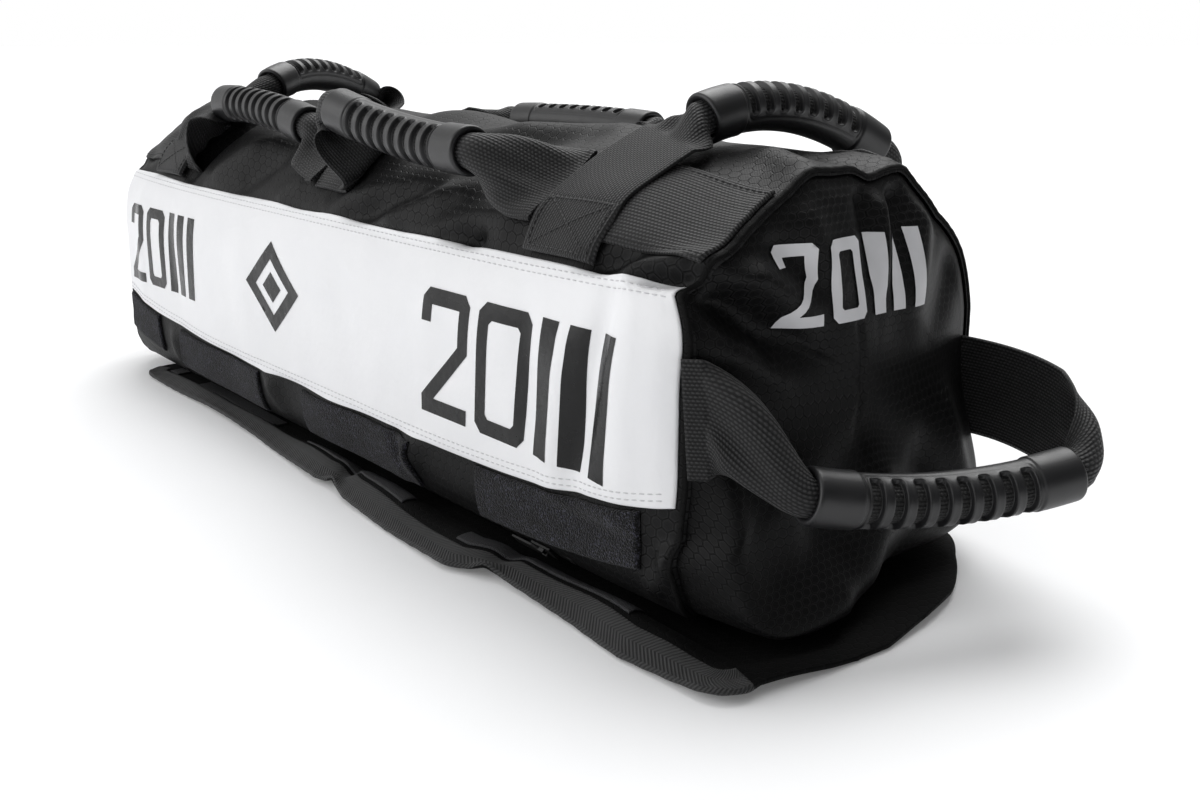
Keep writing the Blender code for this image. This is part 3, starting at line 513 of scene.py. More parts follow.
# %% Folds of the cloth
# Each row: x and angle of one end, x and angle of the other, width, height
TUBE_FOLDS = (
    (0.185, 40, 0.105, 25.5, 0.011, 0.0042),
    (0.160, 33, 0.118, 26.0, 0.008, -0.0048),
    (0.145, 31, 0.150, 27.5, 0.010, -0.0040),
    (0.120, 43, 0.060, 28.0, 0.010, 0.0036),
    (0.095, 42, 0.035, 28.5, 0.009, -0.0034),
    (0.055, 40, -0.010, 27.5, 0.011, 0.0030),
    (0.020, 41, 0.000, 30.0, 0.009, -0.0026),
    (-0.030, 38, -0.060, 28.5, 0.010, 0.0022),
    (-0.080, 45, -0.120, 29.0, 0.010, -0.0030),
    (-0.110, 50, -0.160, 31.0, 0.011, 0.0030),
    (-0.175, 60, -0.195, 30.0, 0.008, -0.0038),
    (-0.215, 62, -0.290, 36.0, 0.010, 0.0032),
    (-0.240, 50, -0.298, 33.0, 0.008, -0.0030),
    (0.298, 37, 0.262, 28.5, 0.0065, 0.0040),
    (0.303, 32.5, 0.278, 27.5, 0.0050, -0.0040),
    (0.262, 33, 0.240, 28.5, 0.0070, -0.0032),
    (0.180, 92, 0.080, 70.0, 0.018, 0.0045),
    (0.150, 78, 0.060, 58.0, 0.014, -0.0048),
    (0.060, 95, -0.040, 78.0, 0.018, 0.0040),
    (-0.020, 82, -0.110, 66.0, 0.016, -0.0042),
    (-0.100, 98, -0.190, 82.0, 0.018, 0.0035),
    (0.130, 120, 0.040, 100.0, 0.018, -0.0038),
    (0.300, 75, 0.262, 84.0, 0.010, 0.0036),
    (0.300, 98, 0.255, 100.0, 0.009, -0.0040),
    (0.302, 112, 0.262, 118.0, 0.010, 0.0036),
    (-0.300, 80, -0.262, 90.0, 0.010, 0.0036),
    (-0.300, 104, -0.262, 100.0, 0.009, -0.0036),
    (0.106, -30, 0.090, -42.0, 0.009, 0.0034),
    (0.088, -31, 0.100, -43.0, 0.007, -0.0030),
    (-0.068, -30, -0.050, -42.0, 0.008, 0.0032),
    (-0.220, -29, -0.212, -42.0, 0.008, 0.0028),
    (0.300, -29, 0.288, -42.0, 0.007, 0.0040),
    (0.291, -30, 0.296, -44.0, 0.006, -0.0030),
    (0.150, 186, 0.060, 204.0, 0.016, 0.0045),
    (0.080, 168, 0.000, 196.0, 0.014, -0.0045),
    (-0.040, 176, -0.120, 206.0, 0.016, 0.0045),
    (-0.140, 172, -0.200, 200.0, 0.014, -0.0042),
    (0.230, 170, 0.190, 208.0, 0.015, 0.0038),
    (0.270, 150, 0.250, 190.0, 0.012, -0.0040),
    (-0.250, 160, -0.240, 200.0, 0.014, 0.0040),
)
# The same for the band: it is stiffer, so its creases are long and shallow
BAND_FOLDS = (
    (0.262, 26, 0.240, -24.0, 0.0075, -0.0038),
    (0.274, 27, 0.270, -26.0, 0.0150, 0.0040),
    (0.232, 10, 0.222, -26.0, 0.0090, 0.0026),
    (0.200, 22, 0.212, -20.0, 0.0100, -0.0016),
    (0.302, 24, 0.303, -27.0, 0.0080, -0.0042),
    (0.130, 24, 0.118, -10.0, 0.0130, 0.0012),
    (0.030, 20, 0.045, -22.0, 0.0150, -0.0012),
    (-0.100, 24, -0.090, -22.0, 0.0150, 0.0012),
    (-0.215, 24, -0.205, -22.0, 0.0110, -0.0016),
    (-0.262, 24, -0.270, -22.0, 0.0080, 0.0016),
)


def from_fold(x, y, start, end):
    """Distance from places to a fold's line, and how far along it each place is."""
    start = np.array(start)
    way = np.array(end) - start
    near = np.clip(((x - start[0]) * way[0] + (y - start[1]) * way[1]) / (way @ way), 0, 1)
    return np.hypot(x - start[0] - near * way[0], y - start[1] - near * way[1]), near


def lay_folds(x, length, folds):
    """Height of a list of folds at a place along and a length round the bag."""
    total = np.zeros(np.broadcast(x, length).shape)
    for start_x, start_angle, end_x, end_angle, width, height in folds:
        start, end = (start_x, girth_at(start_angle)), (end_x, girth_at(end_angle))
        gap, near = from_fold(x, length, start, end)
        fade = 1 - 0.45 * np.cos(np.pi * (2 * near - 1)) ** 2 * (np.abs(2 * near - 1) > 0.5)
        total += height * np.exp(-((gap / width) ** 2)) * fade
    return total


def swell(x, length, seed, pitch, size):
    """Gentle random waves: a sum of sines in random directions."""
    random = np.random.default_rng(seed)
    total = 0.0
    for _ in range(9):
        way, phase = random.uniform(0, np.pi), random.uniform(0, 2 * np.pi)
        wave = 2 * np.pi / (pitch * random.uniform(0.7, 1.6))
        total = total + np.sin(wave * (x * np.cos(way) + length * np.sin(way)) + phase)
    return total * size / 3.0


FOLD_SCALE = 1.6
# How far the seam of the end panels pulls the cloth in, by the angle round the bag
PULL_ANGLES = (-90, -60, -40, 0, 15, 27, 37, 45, 53, 61, 70, 90, 103, 114, 135, 153, 170, 200, 230, 270)
END_PULL = (0, 0, -0.001, -0.003, -0.002, 0.0, -0.006, -0.009, -0.0095, -0.008, -0.0055, -0.0045, -0.006,
            -0.0065, -0.008, -0.002, 0.002, 0.001, 0, 0)


def wrapped(angle):
    """The same angle, between -90 and 270 degrees."""
    return np.mod(angle + 90, 360) - 90


def relief(x, angle):
    """How far the cloth stands off its plain section, folds and all."""
    length = girth_at(angle)
    on_band = smooth((angle + 31) / 4) * smooth((30 - angle) / 4)
    under = smooth((angle + 60) / 14) * smooth((250 - angle) / 20)
    free = FOLD_SCALE * lay_folds(x, length, TUBE_FOLDS) + swell(x, length, 3, 0.075, 0.0009)
    free = free * (1 - 0.8 * np.exp(-(((angle - ZIP_ANGLE) / 5.5) ** 2)))
    held = lay_folds(x, length, BAND_FOLDS) + swell(x, length, 5, 0.110, 0.0005)
    near_end = smooth((np.abs(x) - 0.235) / 0.068) ** 1.5
    pull = np.interp(wrapped(angle), PULL_ANGLES, END_PULL) * near_end
    return under * (free * (1 - on_band) + held * on_band) + pull


def slip(x, angle):
    """How far the cloth is drawn back along the bag at its ends."""
    corner = np.exp(-(((wrapped(angle) - 29) / 6.5) ** 2))
    return -np.sign(x) * 0.009 * corner * smooth((np.abs(x) - 0.19) / 0.113)


def on_bag(x, angle, lift=0.0):
    """Points on the bag at arrays of places, angles and lifts off the cloth."""
    x, angle, lift = np.broadcast_arrays(x, angle, lift)
    y, z, normal_y, normal_z = section(angle)
    out = lift + relief(x, angle)
    return np.stack([x + slip(x, angle), y + normal_y * out, z + MIDDLE_Z + normal_z * out], -1)


print("folds", len(TUBE_FOLDS), "on the tube and", len(BAND_FOLDS), "on the band")

# %% [markdown]
# ### From a grid of points to a piece
#
# One helper turns a grid of points into a mesh with its UV map in metres. It
# checks which way the faces look with the signed distance to a line inside the
# piece, and turns them round if they look in.

# %% Grid to mesh
def grid_of(*parts):
    """Grid of points, or of UV marks, from its separate coordinates."""
    return np.stack(np.broadcast_arrays(*parts), -1)


def axis_points(x, columns):
    """Points on the bag's middle line, one for each row and column of a grid."""
    return grid_of(x[:, None], np.zeros(columns), MIDDLE_Z)


def run_along(line):
    """Length along a line of points, from its start."""
    return np.concatenate([[0], np.cumsum(np.linalg.norm(np.diff(line, axis=0), axis=1))])


def make_mesh(name, points, uv, wrap=False, loop=False, keep=None, inside=None, finishes=(), slots=None):
    """Mesh object of a grid (rows, columns, 3); wrap closes its columns and loop its rows."""
    points, uv = np.asarray(points, float), np.asarray(uv, float)
    rows, columns = points.shape[:2]
    lines, cells = rows - (not loop), columns - (not wrap)
    row, column = np.arange(lines)[:, None], np.arange(cells)[None, :]
    below, after = (row + 1) % rows, (column + 1) % columns
    faces = grid_of(row * columns + column, below * columns + column,
                    below * columns + after, row * columns + after)
    marks = np.stack([uv[:lines, :cells], uv[1:lines + 1, :cells],
                      uv[1:lines + 1, 1:cells + 1], uv[:lines, 1:cells + 1]], 2)
    kept = np.ones((lines, cells), bool) if keep is None else keep
    numbers = None if slots is None else np.asarray(slots)[kept]
    faces, marks = faces[kept], marks[kept]
    if inside is not None:
        flat = points.reshape(-1, 3)
        middle = flat[faces].mean(1)
        across = np.cross(flat[faces[:, 2]] - flat[faces[:, 0]], flat[faces[:, 3]] - flat[faces[:, 1]])
        from_line = middle - np.asarray(inside, float).reshape(-1, 3)[faces[:, 0]]
        if (across * from_line).sum() < 0:
            faces, marks = faces[:, ::-1], marks[:, ::-1]
    return mesh_object(name, points.reshape(-1, 3), faces, marks.reshape(-1, 2), finishes, numbers)


def mesh_object(name, vertices, faces, marks, finishes, numbers=None):
    """Smooth mesh object from arrays of vertices, quads and UV marks."""
    mesh = bpy.data.meshes.new(name)
    mesh.vertices.add(len(vertices))
    mesh.vertices.foreach_set("co", np.ascontiguousarray(vertices, np.float32).ravel())
    mesh.loops.add(faces.size)
    mesh.loops.foreach_set("vertex_index", np.ascontiguousarray(faces, np.int32).ravel())
    mesh.polygons.add(len(faces))
    mesh.polygons.foreach_set("loop_start", np.arange(0, faces.size, 4, dtype=np.int32))
    layer = mesh.uv_layers.new(name="cloth")
    layer.data.foreach_set("uv", np.ascontiguousarray(marks, np.float32).ravel())
    for finish in finishes:
        mesh.materials.append(finish)
    if numbers is not None:
        mesh.polygons.foreach_set("material_index", np.ascontiguousarray(numbers, np.int32).ravel())
    mesh.update(calc_edges=True)
    mesh.polygons.foreach_set("use_smooth", np.ones(len(faces), bool))
    made = bpy.data.objects.new(name, mesh)
    bpy.context.scene.collection.objects.link(made)
    return made


def thicken(made, thickness):
    """Give a sheet its wall, inward from its face."""
    wall = made.modifiers.new("wall", "SOLIDIFY")
    wall.thickness, wall.offset = thickness, -1.0
    return made


def place(made, body, slot, *nodes):
    """Hang a piece on a body, standing for CAD nodes. The slot is not used."""
    if nodes:
        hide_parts(*nodes)
    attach(made, body)
    return made


# %% [markdown]
# ## The cloth tube
#
# The tube is the on_bag function on a grid. Two things break it: the long slot
# for the zip low on the front, and the ends, where the cloth turns in over the
# seam of the end panel. The rows are closer together near the ends.

# %% Cloth tube
# The cloth rolls in over its last 3.5 mm, and what is sewn on it ends before that
SEAM_ROLL = 0.0035
SEWN_END = HALF_LENGTH - SEAM_ROLL
SLIT_HALF, SLIT_REACH = 0.0032, 0.230


def bag_tube():
    """Tube of cloth with the zip's slot, its ends rolled in over the seam."""
    columns = 300
    start = girth_at(ZIP_ANGLE) + SLIT_HALF
    around = angle_at(start + np.linspace(0, GIRTH - 2 * SLIT_HALF, columns))
    inner = np.linspace(0, SEWN_END, 112)
    rolled = SEWN_END + SEAM_ROLL * np.sin(np.linspace(0, np.pi / 2, 7))
    side = np.concatenate([inner[1:], rolled[1:]])
    x = np.concatenate([-side[::-1], [0], side])
    lip = np.clip((np.abs(x) - SEWN_END) / SEAM_ROLL, 0, 1)
    drop = -SEAM_ROLL * (1 - np.sqrt(1 - lip**2))
    points = on_bag(x[:, None], around[None, :], drop[:, None])
    keep = np.ones((len(x) - 1, columns), bool)
    keep[np.abs((x[1:] + x[:-1]) / 2) < SLIT_REACH, -1] = False
    length = girth_at(np.append(around, around[0] + 360))
    uv, axis = grid_of(x[:, None], length), axis_points(x, columns)
    made = make_mesh("bag_tube", points, uv, wrap=True, keep=keep, inside=axis, finishes=[RIPSTOP])
    print("cloth tube", len(made.data.polygons), "faces")
    return place(made, "bag", "ripstop_fabric", "shell_body")


bag_tube()

# %% [markdown]
# ## The end panels
#
# Each end is a round panel, sewn in and pushed out by the sand. It bulges in
# the middle, sags into a toe over the floor, and is gathered into soft folds
# where the tube's corners pull on it. Rings from the seam to the centre carry
# the same folds as the tube at the seam, so that no gap opens there.

# %% End panels
PANEL_RADIUS, PANEL_CROWN, PANEL_TOE = 0.1, 0.018, 0.029
# The grid of the end panels' cloth is finer than the tube's by this factor
PANEL_WEAVE = 1.3
# Each row: across and up of one end, of the other end (shares of the radius), width and height
PANEL_FOLDS = (
    (-0.88, 0.52, -0.56, 0.28, 0.0075, -0.0080),
    (-0.74, 0.62, -0.42, 0.40, 0.0090, 0.0070),
    (-0.60, 0.26, -0.38, 0.20, 0.0080, -0.0045),
    (-0.90, 0.30, -0.58, 0.12, 0.0080, 0.0050),
    (-0.60, 0.76, -0.34, 0.52, 0.0110, -0.0050),
    (-0.38, 0.90, -0.22, 0.50, 0.0080, 0.0042),
    (0.04, 0.95, 0.02, 0.55, 0.0060, -0.0052),
    (0.16, 0.93, 0.12, 0.50, 0.0065, 0.0050),
    (0.30, 0.90, 0.20, 0.48, 0.0070, -0.0058),
    (0.52, 0.80, 0.34, 0.30, 0.0110, 0.0058),
    (0.80, 0.45, 0.50, 0.15, 0.0110, -0.0058),
    (-0.10, 0.30, -0.06, -0.30, 0.0022, -0.0011),
    (-0.86, -0.35, -0.60, -0.62, 0.0100, 0.0050),
    (-0.92, -0.62, -0.50, -0.88, 0.0080, -0.0060),
    (-0.30, -0.35, -0.28, -0.85, 0.0090, -0.0045),
    (0.02, -0.30, -0.12, -0.88, 0.0100, 0.0050),
    (0.30, -0.28, 0.18, -0.85, 0.0080, -0.0052),
    (0.60, -0.20, 0.46, -0.75, 0.0100, 0.0045),
)
# The near end sags to the front: places across, and how much more or less toe there
TOE_ACROSS = (-1.05, -0.92, -0.60, -0.35, -0.05, 0.35, 0.75, 0.95)
TOE_MORE = (0.5, 1.0, 1.1, 0.9, -0.4, -0.8, -0.6, 0.0)


def front_toe(side, across, up):
    """How much the sand leans into the front of the near toe, 0 to 1."""
    return smooth((-up - 0.45) / 0.3) * smooth((-across + 0.05) / 0.4) * (side > 0)


def panel_relief(side, across, up):
    """Height of an end panel: crown, toe and folds."""
    share = np.hypot(across, up)
    crown = 1 - np.minimum(1.0, share**2)
    cut = 20 + 60 * front_toe(side, across, up)
    toe = smooth(-1.2 * up) * (1 - np.minimum(1.0, share**cut))
    more = np.interp(across, TOE_ACROSS, TOE_MORE) * smooth((-up - 0.42) / 0.4) * (side > 0)
    total = PANEL_CROWN * crown + (PANEL_TOE + 0.012 * more) * toe
    held = smooth((1.0 - share) / 0.14)
    y, z = across * PANEL_RADIUS, up * PANEL_RADIUS
    for *ends, width, height in PANEL_FOLDS:
        start_end = np.array(ends) * PANEL_RADIUS
        gap, near = from_fold(y, z, start_end[:2], start_end[2:])
        total = total + height * np.exp(-((gap / width) ** 2)) * (1 - 0.6 * near**2) * held
    return total + swell(y, z, 11 + side, 0.05, 0.0009) * held


def panel_surface(side, share, angle, lift=0.0):
    """Points of an end panel at shares of the way from its middle to the seam."""
    share, angle = np.broadcast_arrays(np.asarray(share, float), np.asarray(angle, float))
    rim = on_bag(side * HALF_LENGTH, angle, -SEAM_ROLL)
    across, up = -np.cos(np.radians(angle)) * share, np.sin(np.radians(angle)) * share
    edge = np.sqrt(np.clip(1 - ((share - 0.93) / 0.07).clip(0, 1) ** 2, 0, 1))
    rise = 0.10 - 0.068 * front_toe(side, across, up)
    held = 0.25 + 0.75 * smooth((1 - share) / rise)
    depth = panel_relief(side, across, up) * held - SEAM_ROLL * (1 - edge)
    full = np.where(up < 0, share**0.72, share)
    drawn = slip(side * HALF_LENGTH, angle) * smooth((share - 0.3) / 0.7)
    x = side * (HALF_LENGTH + 0.0005 + depth + lift) + drawn
    return np.stack([x, rim[..., 1] * share, MIDDLE_Z + (rim[..., 2] - MIDDLE_Z) * full], -1)


def end_panel(name, side, node):
    """Bulging end: rings of cloth from the seam to the middle."""
    near_seam = 1 - 0.06 * (1 - np.cos(np.linspace(0, np.pi / 2, 8)))
    shares = np.concatenate([near_seam, np.linspace(0.93, 0.0, 74)[1:]])
    angles = np.linspace(-180, 180, 240, endpoint=False)
    points = panel_surface(side, shares[:, None], angles[None, :])
    steps = np.linalg.norm(np.diff(points[::-1], axis=0), axis=-1)
    reach = np.concatenate([np.zeros((1, len(angles))), np.cumsum(steps, 0)])[::-1]
    reach = np.concatenate([reach, reach[:, :1]], 1)
    spread = np.radians(np.append(angles, 180.0))[None, :]
    uv = PANEL_WEAVE * np.stack([-np.cos(spread) * reach, np.sin(spread) * reach], -1)
    inside = np.broadcast_to([side * (HALF_LENGTH - 0.2), 0, MIDDLE_Z], points.shape)
    made = make_mesh(name, points, uv, wrap=True, inside=inside, finishes=[RIPSTOP])
    return place(made, "bag", "ripstop_fabric", node)


def panel_point(side, y, z, lift):
    """Points off an end panel at places seen from the end."""
    angle = np.degrees(np.arctan2(z - MIDDLE_Z, -y))
    rim = on_bag(side * HALF_LENGTH, angle, -SEAM_ROLL)
    share = np.hypot(y, z - MIDDLE_Z) / np.hypot(rim[..., 1], rim[..., 2] - MIDDLE_Z)
    return panel_surface(side, share, angle, lift)


end_panel("end_cloth_near", 1, "end_panel_near")
end_panel("end_cloth_far", -1, "end_panel_far")
print("two end panels with", len(PANEL_FOLDS), "folds each")

# %% [markdown]
# ## Pieces sewn on the bag
#
# Band, loop patches and straps are all sheets on the bag: a range along it, a
# range of angles and a thickness. Their edges roll down to the cloth in a
# quarter circle, which catches a thin light along each edge as real cloth does.

# %% Sheets on the bag
def climb(x, angle):
    """How far a seam below the straps climbs toward the bag's ends."""
    full = np.where(angle < 0, 8.5, 2.0) * (angle <= 28)
    return full * (x / HALF_LENGTH) ** 4


def edge_steps(low, high, count, roll):
    """Stations from low to high that crowd at both ends, and how far down they roll."""
    turn = np.linspace(0, np.pi / 2, 5)
    ends = roll * (1 - np.cos(turn))
    middle = np.linspace(low + roll, high - roll, count)
    stations = np.concatenate([low + ends, middle[1:-1], high - ends[::-1]])
    from_edge = np.minimum(stations - low, high - stations)
    sunk = 1 - np.sqrt(np.clip(1 - (1 - np.clip(from_edge / roll, 0, 1)) ** 2, 0, 1))
    return stations, sunk


def patch_on_bag(name, x_span, angle_span, thickness, finish, slot, nodes, counts, roll=0.0012, base=0.0004,
                 wobble=0.0):
    """Sheet on the bag with rolled edges, over spans along and round it."""
    x, sunk_x = edge_steps(*x_span, counts[0], roll)
    low, high = girth_at(angle_span[0]), girth_at(angle_span[1])
    length, sunk_y = edge_steps(low, high, counts[1], roll)
    share = (length - low) / (high - low)
    start = girth_at(angle_span[0] + climb(x, angle_span[0]))[:, None]
    end = girth_at(angle_span[1] + climb(x, angle_span[1]))[:, None]
    edge_wave = wobble * np.sin(x / 0.021 + 1.3 * np.sin(x / 0.047))[:, None]
    around = start + (end - start) * share[None, :] + edge_wave * (2 * share[None, :] - 1)
    sunk = np.maximum(sunk_x[:, None], sunk_y[None, :])
    points = on_bag(x[:, None], angle_at(around), base + thickness * (1 - sunk))
    uv, axis = grid_of(x[:, None], around), axis_points(x, len(length))
    made = make_mesh(name, points, uv, inside=axis, finishes=[finish])
    place(thicken(made, min(0.0008, thickness)), "bag", slot, *nodes)
    return made


# %% White band
BAND_LOW, BAND_HIGH = -29.0, 28.0
# Stitches and print lie this far off the bag, just over the band
BAND_FACE = 0.0018
patch_on_bag("band_vinyl", (-SEWN_END, SEWN_END), (BAND_LOW, BAND_HIGH), 0.0012, VINYL,
             "white_vinyl", ["white_band"], (300, 60), wobble=0.0006)
print("band", round(float(girth_at(BAND_HIGH) - girth_at(BAND_LOW)), 3), "m high")

# %% Loop patches
PILE_ANGLES = (-41.7, -30.0)
PILE_SPANS = ((-SEWN_END, -0.2447), (-0.2074, -0.0794), (-0.0234, 0.1046), (0.1606, 0.283))
for number, span in enumerate(PILE_SPANS):
    patch_on_bag(f"pile_patch_{number + 1}", span, PILE_ANGLES, 0.0020, PILE, "loop_pile",
                 [f"loop_patch_{number + 1}"], (90, 40), roll=0.002)
print("loop patches", len(PILE_SPANS))

# %% [markdown]
# ### Straps and cross patches
#
# Flat webbing runs along both shoulders of the bag. The cross handles end in
# patches sewn over it. All of them are 50 mm wide, as the handles' webbing is.

# %% Straps and cross patches
STRAP_ANGLE = 49.5
WEBBING_WIDTH, WEBBING_THICKNESS = 0.050, 0.0020
STRAP_LIFT, CROSS_LIFT = 0.0003, 0.0026
NEAR_CROSS_X, FAR_CROSS_X = 0.217, -0.228
TACK_HALF = 0.018
BACK_LOOP = (0.022 - 0.103, 0.022 + 0.103)
_half = math.degrees(WEBBING_WIDTH / 2 / float(np.hypot(*section(STRAP_ANGLE)[:2])))
STRAP_RANGE = (STRAP_ANGLE - _half, STRAP_ANGLE + _half)


def straps():
    """Straps along the shoulders and the four cross patches."""
    end, half = SEWN_END, WEBBING_WIDTH / 2
    front = {"strap_front_near": (NEAR_CROSS_X - half, end), "strap_front_middle": (-TACK_HALF, TACK_HALF),
             "strap_front_far": (-end, FAR_CROSS_X + half)}
    back = {"strap_back_near": (BACK_LOOP[1], end), "strap_back_far": (-end, BACK_LOOP[0])}
    for names, (low, high) in ((front, STRAP_RANGE), (back, (180 - STRAP_RANGE[1], 180 - STRAP_RANGE[0]))):
        for node, span in names.items():
            patch_on_bag(node.replace("strap", "webbing_strap"), span, (low, high), WEBBING_THICKNESS,
                         WEBBING, "webbing", [node], (70, 30))
    for where, x in (("near", NEAR_CROSS_X), ("far", FAR_CROSS_X)):
        for face, angles in (("front", (30.0, 45.2)), ("back", (134.8, 150.0))):
            patch_on_bag(f"box_patch_{where}_{face}", (x - half, x + half), angles, WEBBING_THICKNESS,
                         WEBBING_CROSS, "webbing", [f"cross_patch_{where}_{face}"], (40, 30), base=CROSS_LIFT)


def turned_webbing():
    """The same webbing with its ribs running round the bag."""
    made = WEBBING.copy()
    made.name = "webbing_across"
    tree = made.node_tree
    for split in [n for n in tree.nodes if n.bl_idname == "ShaderNodeSeparateXYZ"]:
        along = [link.to_socket for link in split.outputs["X"].links]
        across = [link.to_socket for link in split.outputs["Y"].links]
        for link in list(split.outputs["X"].links) + list(split.outputs["Y"].links):
            tree.links.remove(link)
        for target in along:
            tree.links.new(split.outputs["Y"], target)
        for target in across:
            tree.links.new(split.outputs["X"], target)
    return made


WEBBING_CROSS = turned_webbing()
straps()
print("five straps and four cross patches of", round(1000 * WEBBING_WIDTH), "mm webbing")

# %% [markdown]
# ### Seams at the ends
#
# Where tube and end panel meet, both cloths are turned in and sewn through. The
# seam shows as a narrow rounded ridge that runs round the end. It also takes
# up the ends of the band and the straps, as it does on the real bag.

# %% End seams
def end_seam(name, side):
    """Ridge round one end: a small closed ring section carried round the seam."""
    drop, steps = 0.0012, 16
    angles = np.linspace(-180, 180, 420, endpoint=False)
    line = on_bag(np.full_like(angles, side * (HALF_LENGTH - drop)), angles, -drop)
    middle = np.array([side * HALF_LENGTH, 0, MIDDLE_Z])
    outward = unit((line - middle) * [0, 1, 1])
    turn = np.linspace(0, 2 * np.pi, steps, endpoint=False)
    pucker = 1 + 0.10 * np.sin(np.radians(angles) * 95)
    along = np.array([side * 1.0, 0, 0])
    ring = (line[None] + outward[None] * (0.0013 * np.cos(turn)[:, None] * pucker)[..., None]
            + along * (0.0016 * np.sin(turn)[:, None] * np.ones_like(angles))[..., None])
    length = girth_at(np.append(angles, 180.0))
    uv = grid_of(length, np.linspace(0, 0.014, steps + 1)[:, None])
    core = np.broadcast_to(line[None], ring.shape)
    # The seam ridge takes the darker ripstop: painted shade in the seam's crease.
    made = make_mesh(name, ring, uv, wrap=True, loop=True, inside=core, finishes=[RIPSTOP_SHADED])
    return place(made, "bag", "ripstop_fabric")


end_seam("end_seam_near", 1)
end_seam("end_seam_far", -1)
print("two end seams")

# %% [markdown]
# ### Stitches
#
# A stitch is a tiny capsule, pressed a little into the cloth. One function
# lays thousands of them from three arrays: their middles, the ways they run
# and the ways out of the cloth. Each has only 24 faces.

# %% Stitches
THREAD_THICKNESS = 0.0006
# How far off the bag the stitches lie, over the straps and over the cross patches
STRAP_FACE, PATCH_FACE = 0.0027, 0.0049


def capsules(name, middles, ways, outs, length, finish, slot):
    """One mesh of small capsules with six sides and five rings."""
    sides, rings = 6, 5
    ways, outs = unit(ways), unit(outs)
    beside = np.cross(ways, outs)
    stations = np.array([-0.5, -0.36, 0.0, 0.36, 0.5])
    sizes = np.array([0.02, 0.85, 1.0, 0.85, 0.02])
    sunk = np.array([-0.9, -0.25, 0.0, -0.25, -0.9])
    turn = np.linspace(0, 2 * np.pi, sides, endpoint=False)
    ring_out = sizes[:, None] * np.cos(turn)[None, :] + sunk[:, None]
    ring_side = sizes[:, None] * np.sin(turn)[None, :]
    points = (middles[:, None, None] + ways[:, None, None] * (stations * length)[None, :, None, None]
              + outs[:, None, None] * (ring_out * THREAD_THICKNESS / 2)[None, ..., None]
              + beside[:, None, None] * (ring_side * THREAD_THICKNESS / 2)[None, ..., None])
    row, column = np.arange(rings - 1)[:, None] * sides, np.arange(sides)[None, :]
    after = (column + 1) % sides
    one = grid_of(row + column, row + after, row + sides + after, row + sides + column).reshape(-1, 4)
    faces = (one[None] + sides * rings * np.arange(len(middles))[:, None, None]).reshape(-1, 4)
    made = mesh_object(name, points.reshape(-1, 3), faces, np.zeros((faces.size, 2)), [finish])
    return place(made, "bag", slot)


def seam_line(name, x, angle, lift, finish, slot, pitch=0.0042, length=0.0030):
    """Stitches along a line on the bag, evenly spaced by its true length."""
    x, angle = np.broadcast_arrays(np.asarray(x, float), np.asarray(angle, float))
    line = on_bag(x, angle, lift)
    run = run_along(line)
    marks = np.arange(pitch / 2, run[-1] - pitch / 2, pitch)
    at_x, at_angle = np.interp(marks, run, x), np.interp(marks, run, angle)
    middles = on_bag(at_x, at_angle, lift)
    ways = np.stack([np.interp(marks + 0.001, run, line[:, k]) - np.interp(marks - 0.001, run, line[:, k])
                     for k in range(3)], -1)
    outs = on_bag(at_x, at_angle, lift + 0.001) - middles
    return capsules(name, middles, ways, outs, length, finish, slot)


def girth_step(angle, distance):
    """Angle a distance of cloth away from a seam."""
    return angle_at(girth_at(angle) + distance)


def band_stitches():
    """Two rows of white stitches along each long edge of the band."""
    x = np.linspace(-SEWN_END + 0.002, SEWN_END - 0.002, 400)
    for edge, seam, way in (("low", BAND_LOW, 1), ("high", BAND_HIGH, -1)):
        for row, inset in enumerate((0.0032, 0.0062)):
            angle = girth_step(seam + climb(x, seam), way * inset)
            seam_line(f"band_stitches_{edge}_{row + 1}", x, angle, BAND_FACE, THREAD_WHITE, "white_vinyl")


def strap_stitches():
    """Dark stitches along the straps, and boxes with crosses on the patches."""
    half, inset = WEBBING_WIDTH / 2, 0.0035
    webbing_thread = {"finish": THREAD_GREY, "slot": "webbing", "pitch": 0.0034, "length": 0.0026}
    spans = {"front_near": (NEAR_CROSS_X + half, SEWN_END), "front_far": (-SEWN_END, FAR_CROSS_X - half),
             "back_near": (NEAR_CROSS_X + half, SEWN_END), "back_far": (-SEWN_END, FAR_CROSS_X - half),
             "front_middle": (-TACK_HALF + 0.002, TACK_HALF - 0.002)}
    for place_name, (low, high) in spans.items():
        x = np.linspace(low, high, 120)
        middle = STRAP_ANGLE if "front" in place_name else 180 - STRAP_ANGLE
        for row, way in (("low", -1), ("high", 1)):
            angle = np.full_like(x, float(girth_step(middle, way * (half - inset))))
            seam_line(f"strap_stitches_{place_name}_{row}", x, angle, STRAP_FACE, **webbing_thread)
    for where, x in (("near", NEAR_CROSS_X), ("far", FAR_CROSS_X)):
        for face, (low, high) in (("front", (31.3, 44.2)), ("back", (135.8, 148.7))):
            left, right = x - half + inset, x + half - inset
            corners = ((left, low), (right, low), (right, high), (left, high))
            box = zip(corners, corners[1:] + corners[:1])
            cross = ((corners[0], corners[2]), (corners[3], corners[1]))
            for number, ((x0, a0), (x1, a1)) in enumerate((*box, *cross)):
                share = np.linspace(0, 1, 60)
                seam_line(f"box_stitches_{where}_{face}_{number + 1}", x0 + (x1 - x0) * share,
                          a0 + (a1 - a0) * share, PATCH_FACE, **webbing_thread)


band_stitches()
strap_stitches()

# %% [markdown]
# ### Print on the band
#
# The print is a thin film of ink on the vinyl. It is drawn flat, as strokes
# with a width, and then carried onto the band: the flat place gives the place
# along the bag and the length of cloth round it, so the print bends with the
# band and its creases. It shows plain numbers, plain bars and a lozenge.

# %% Print
PRINT_STEP = 0.0030


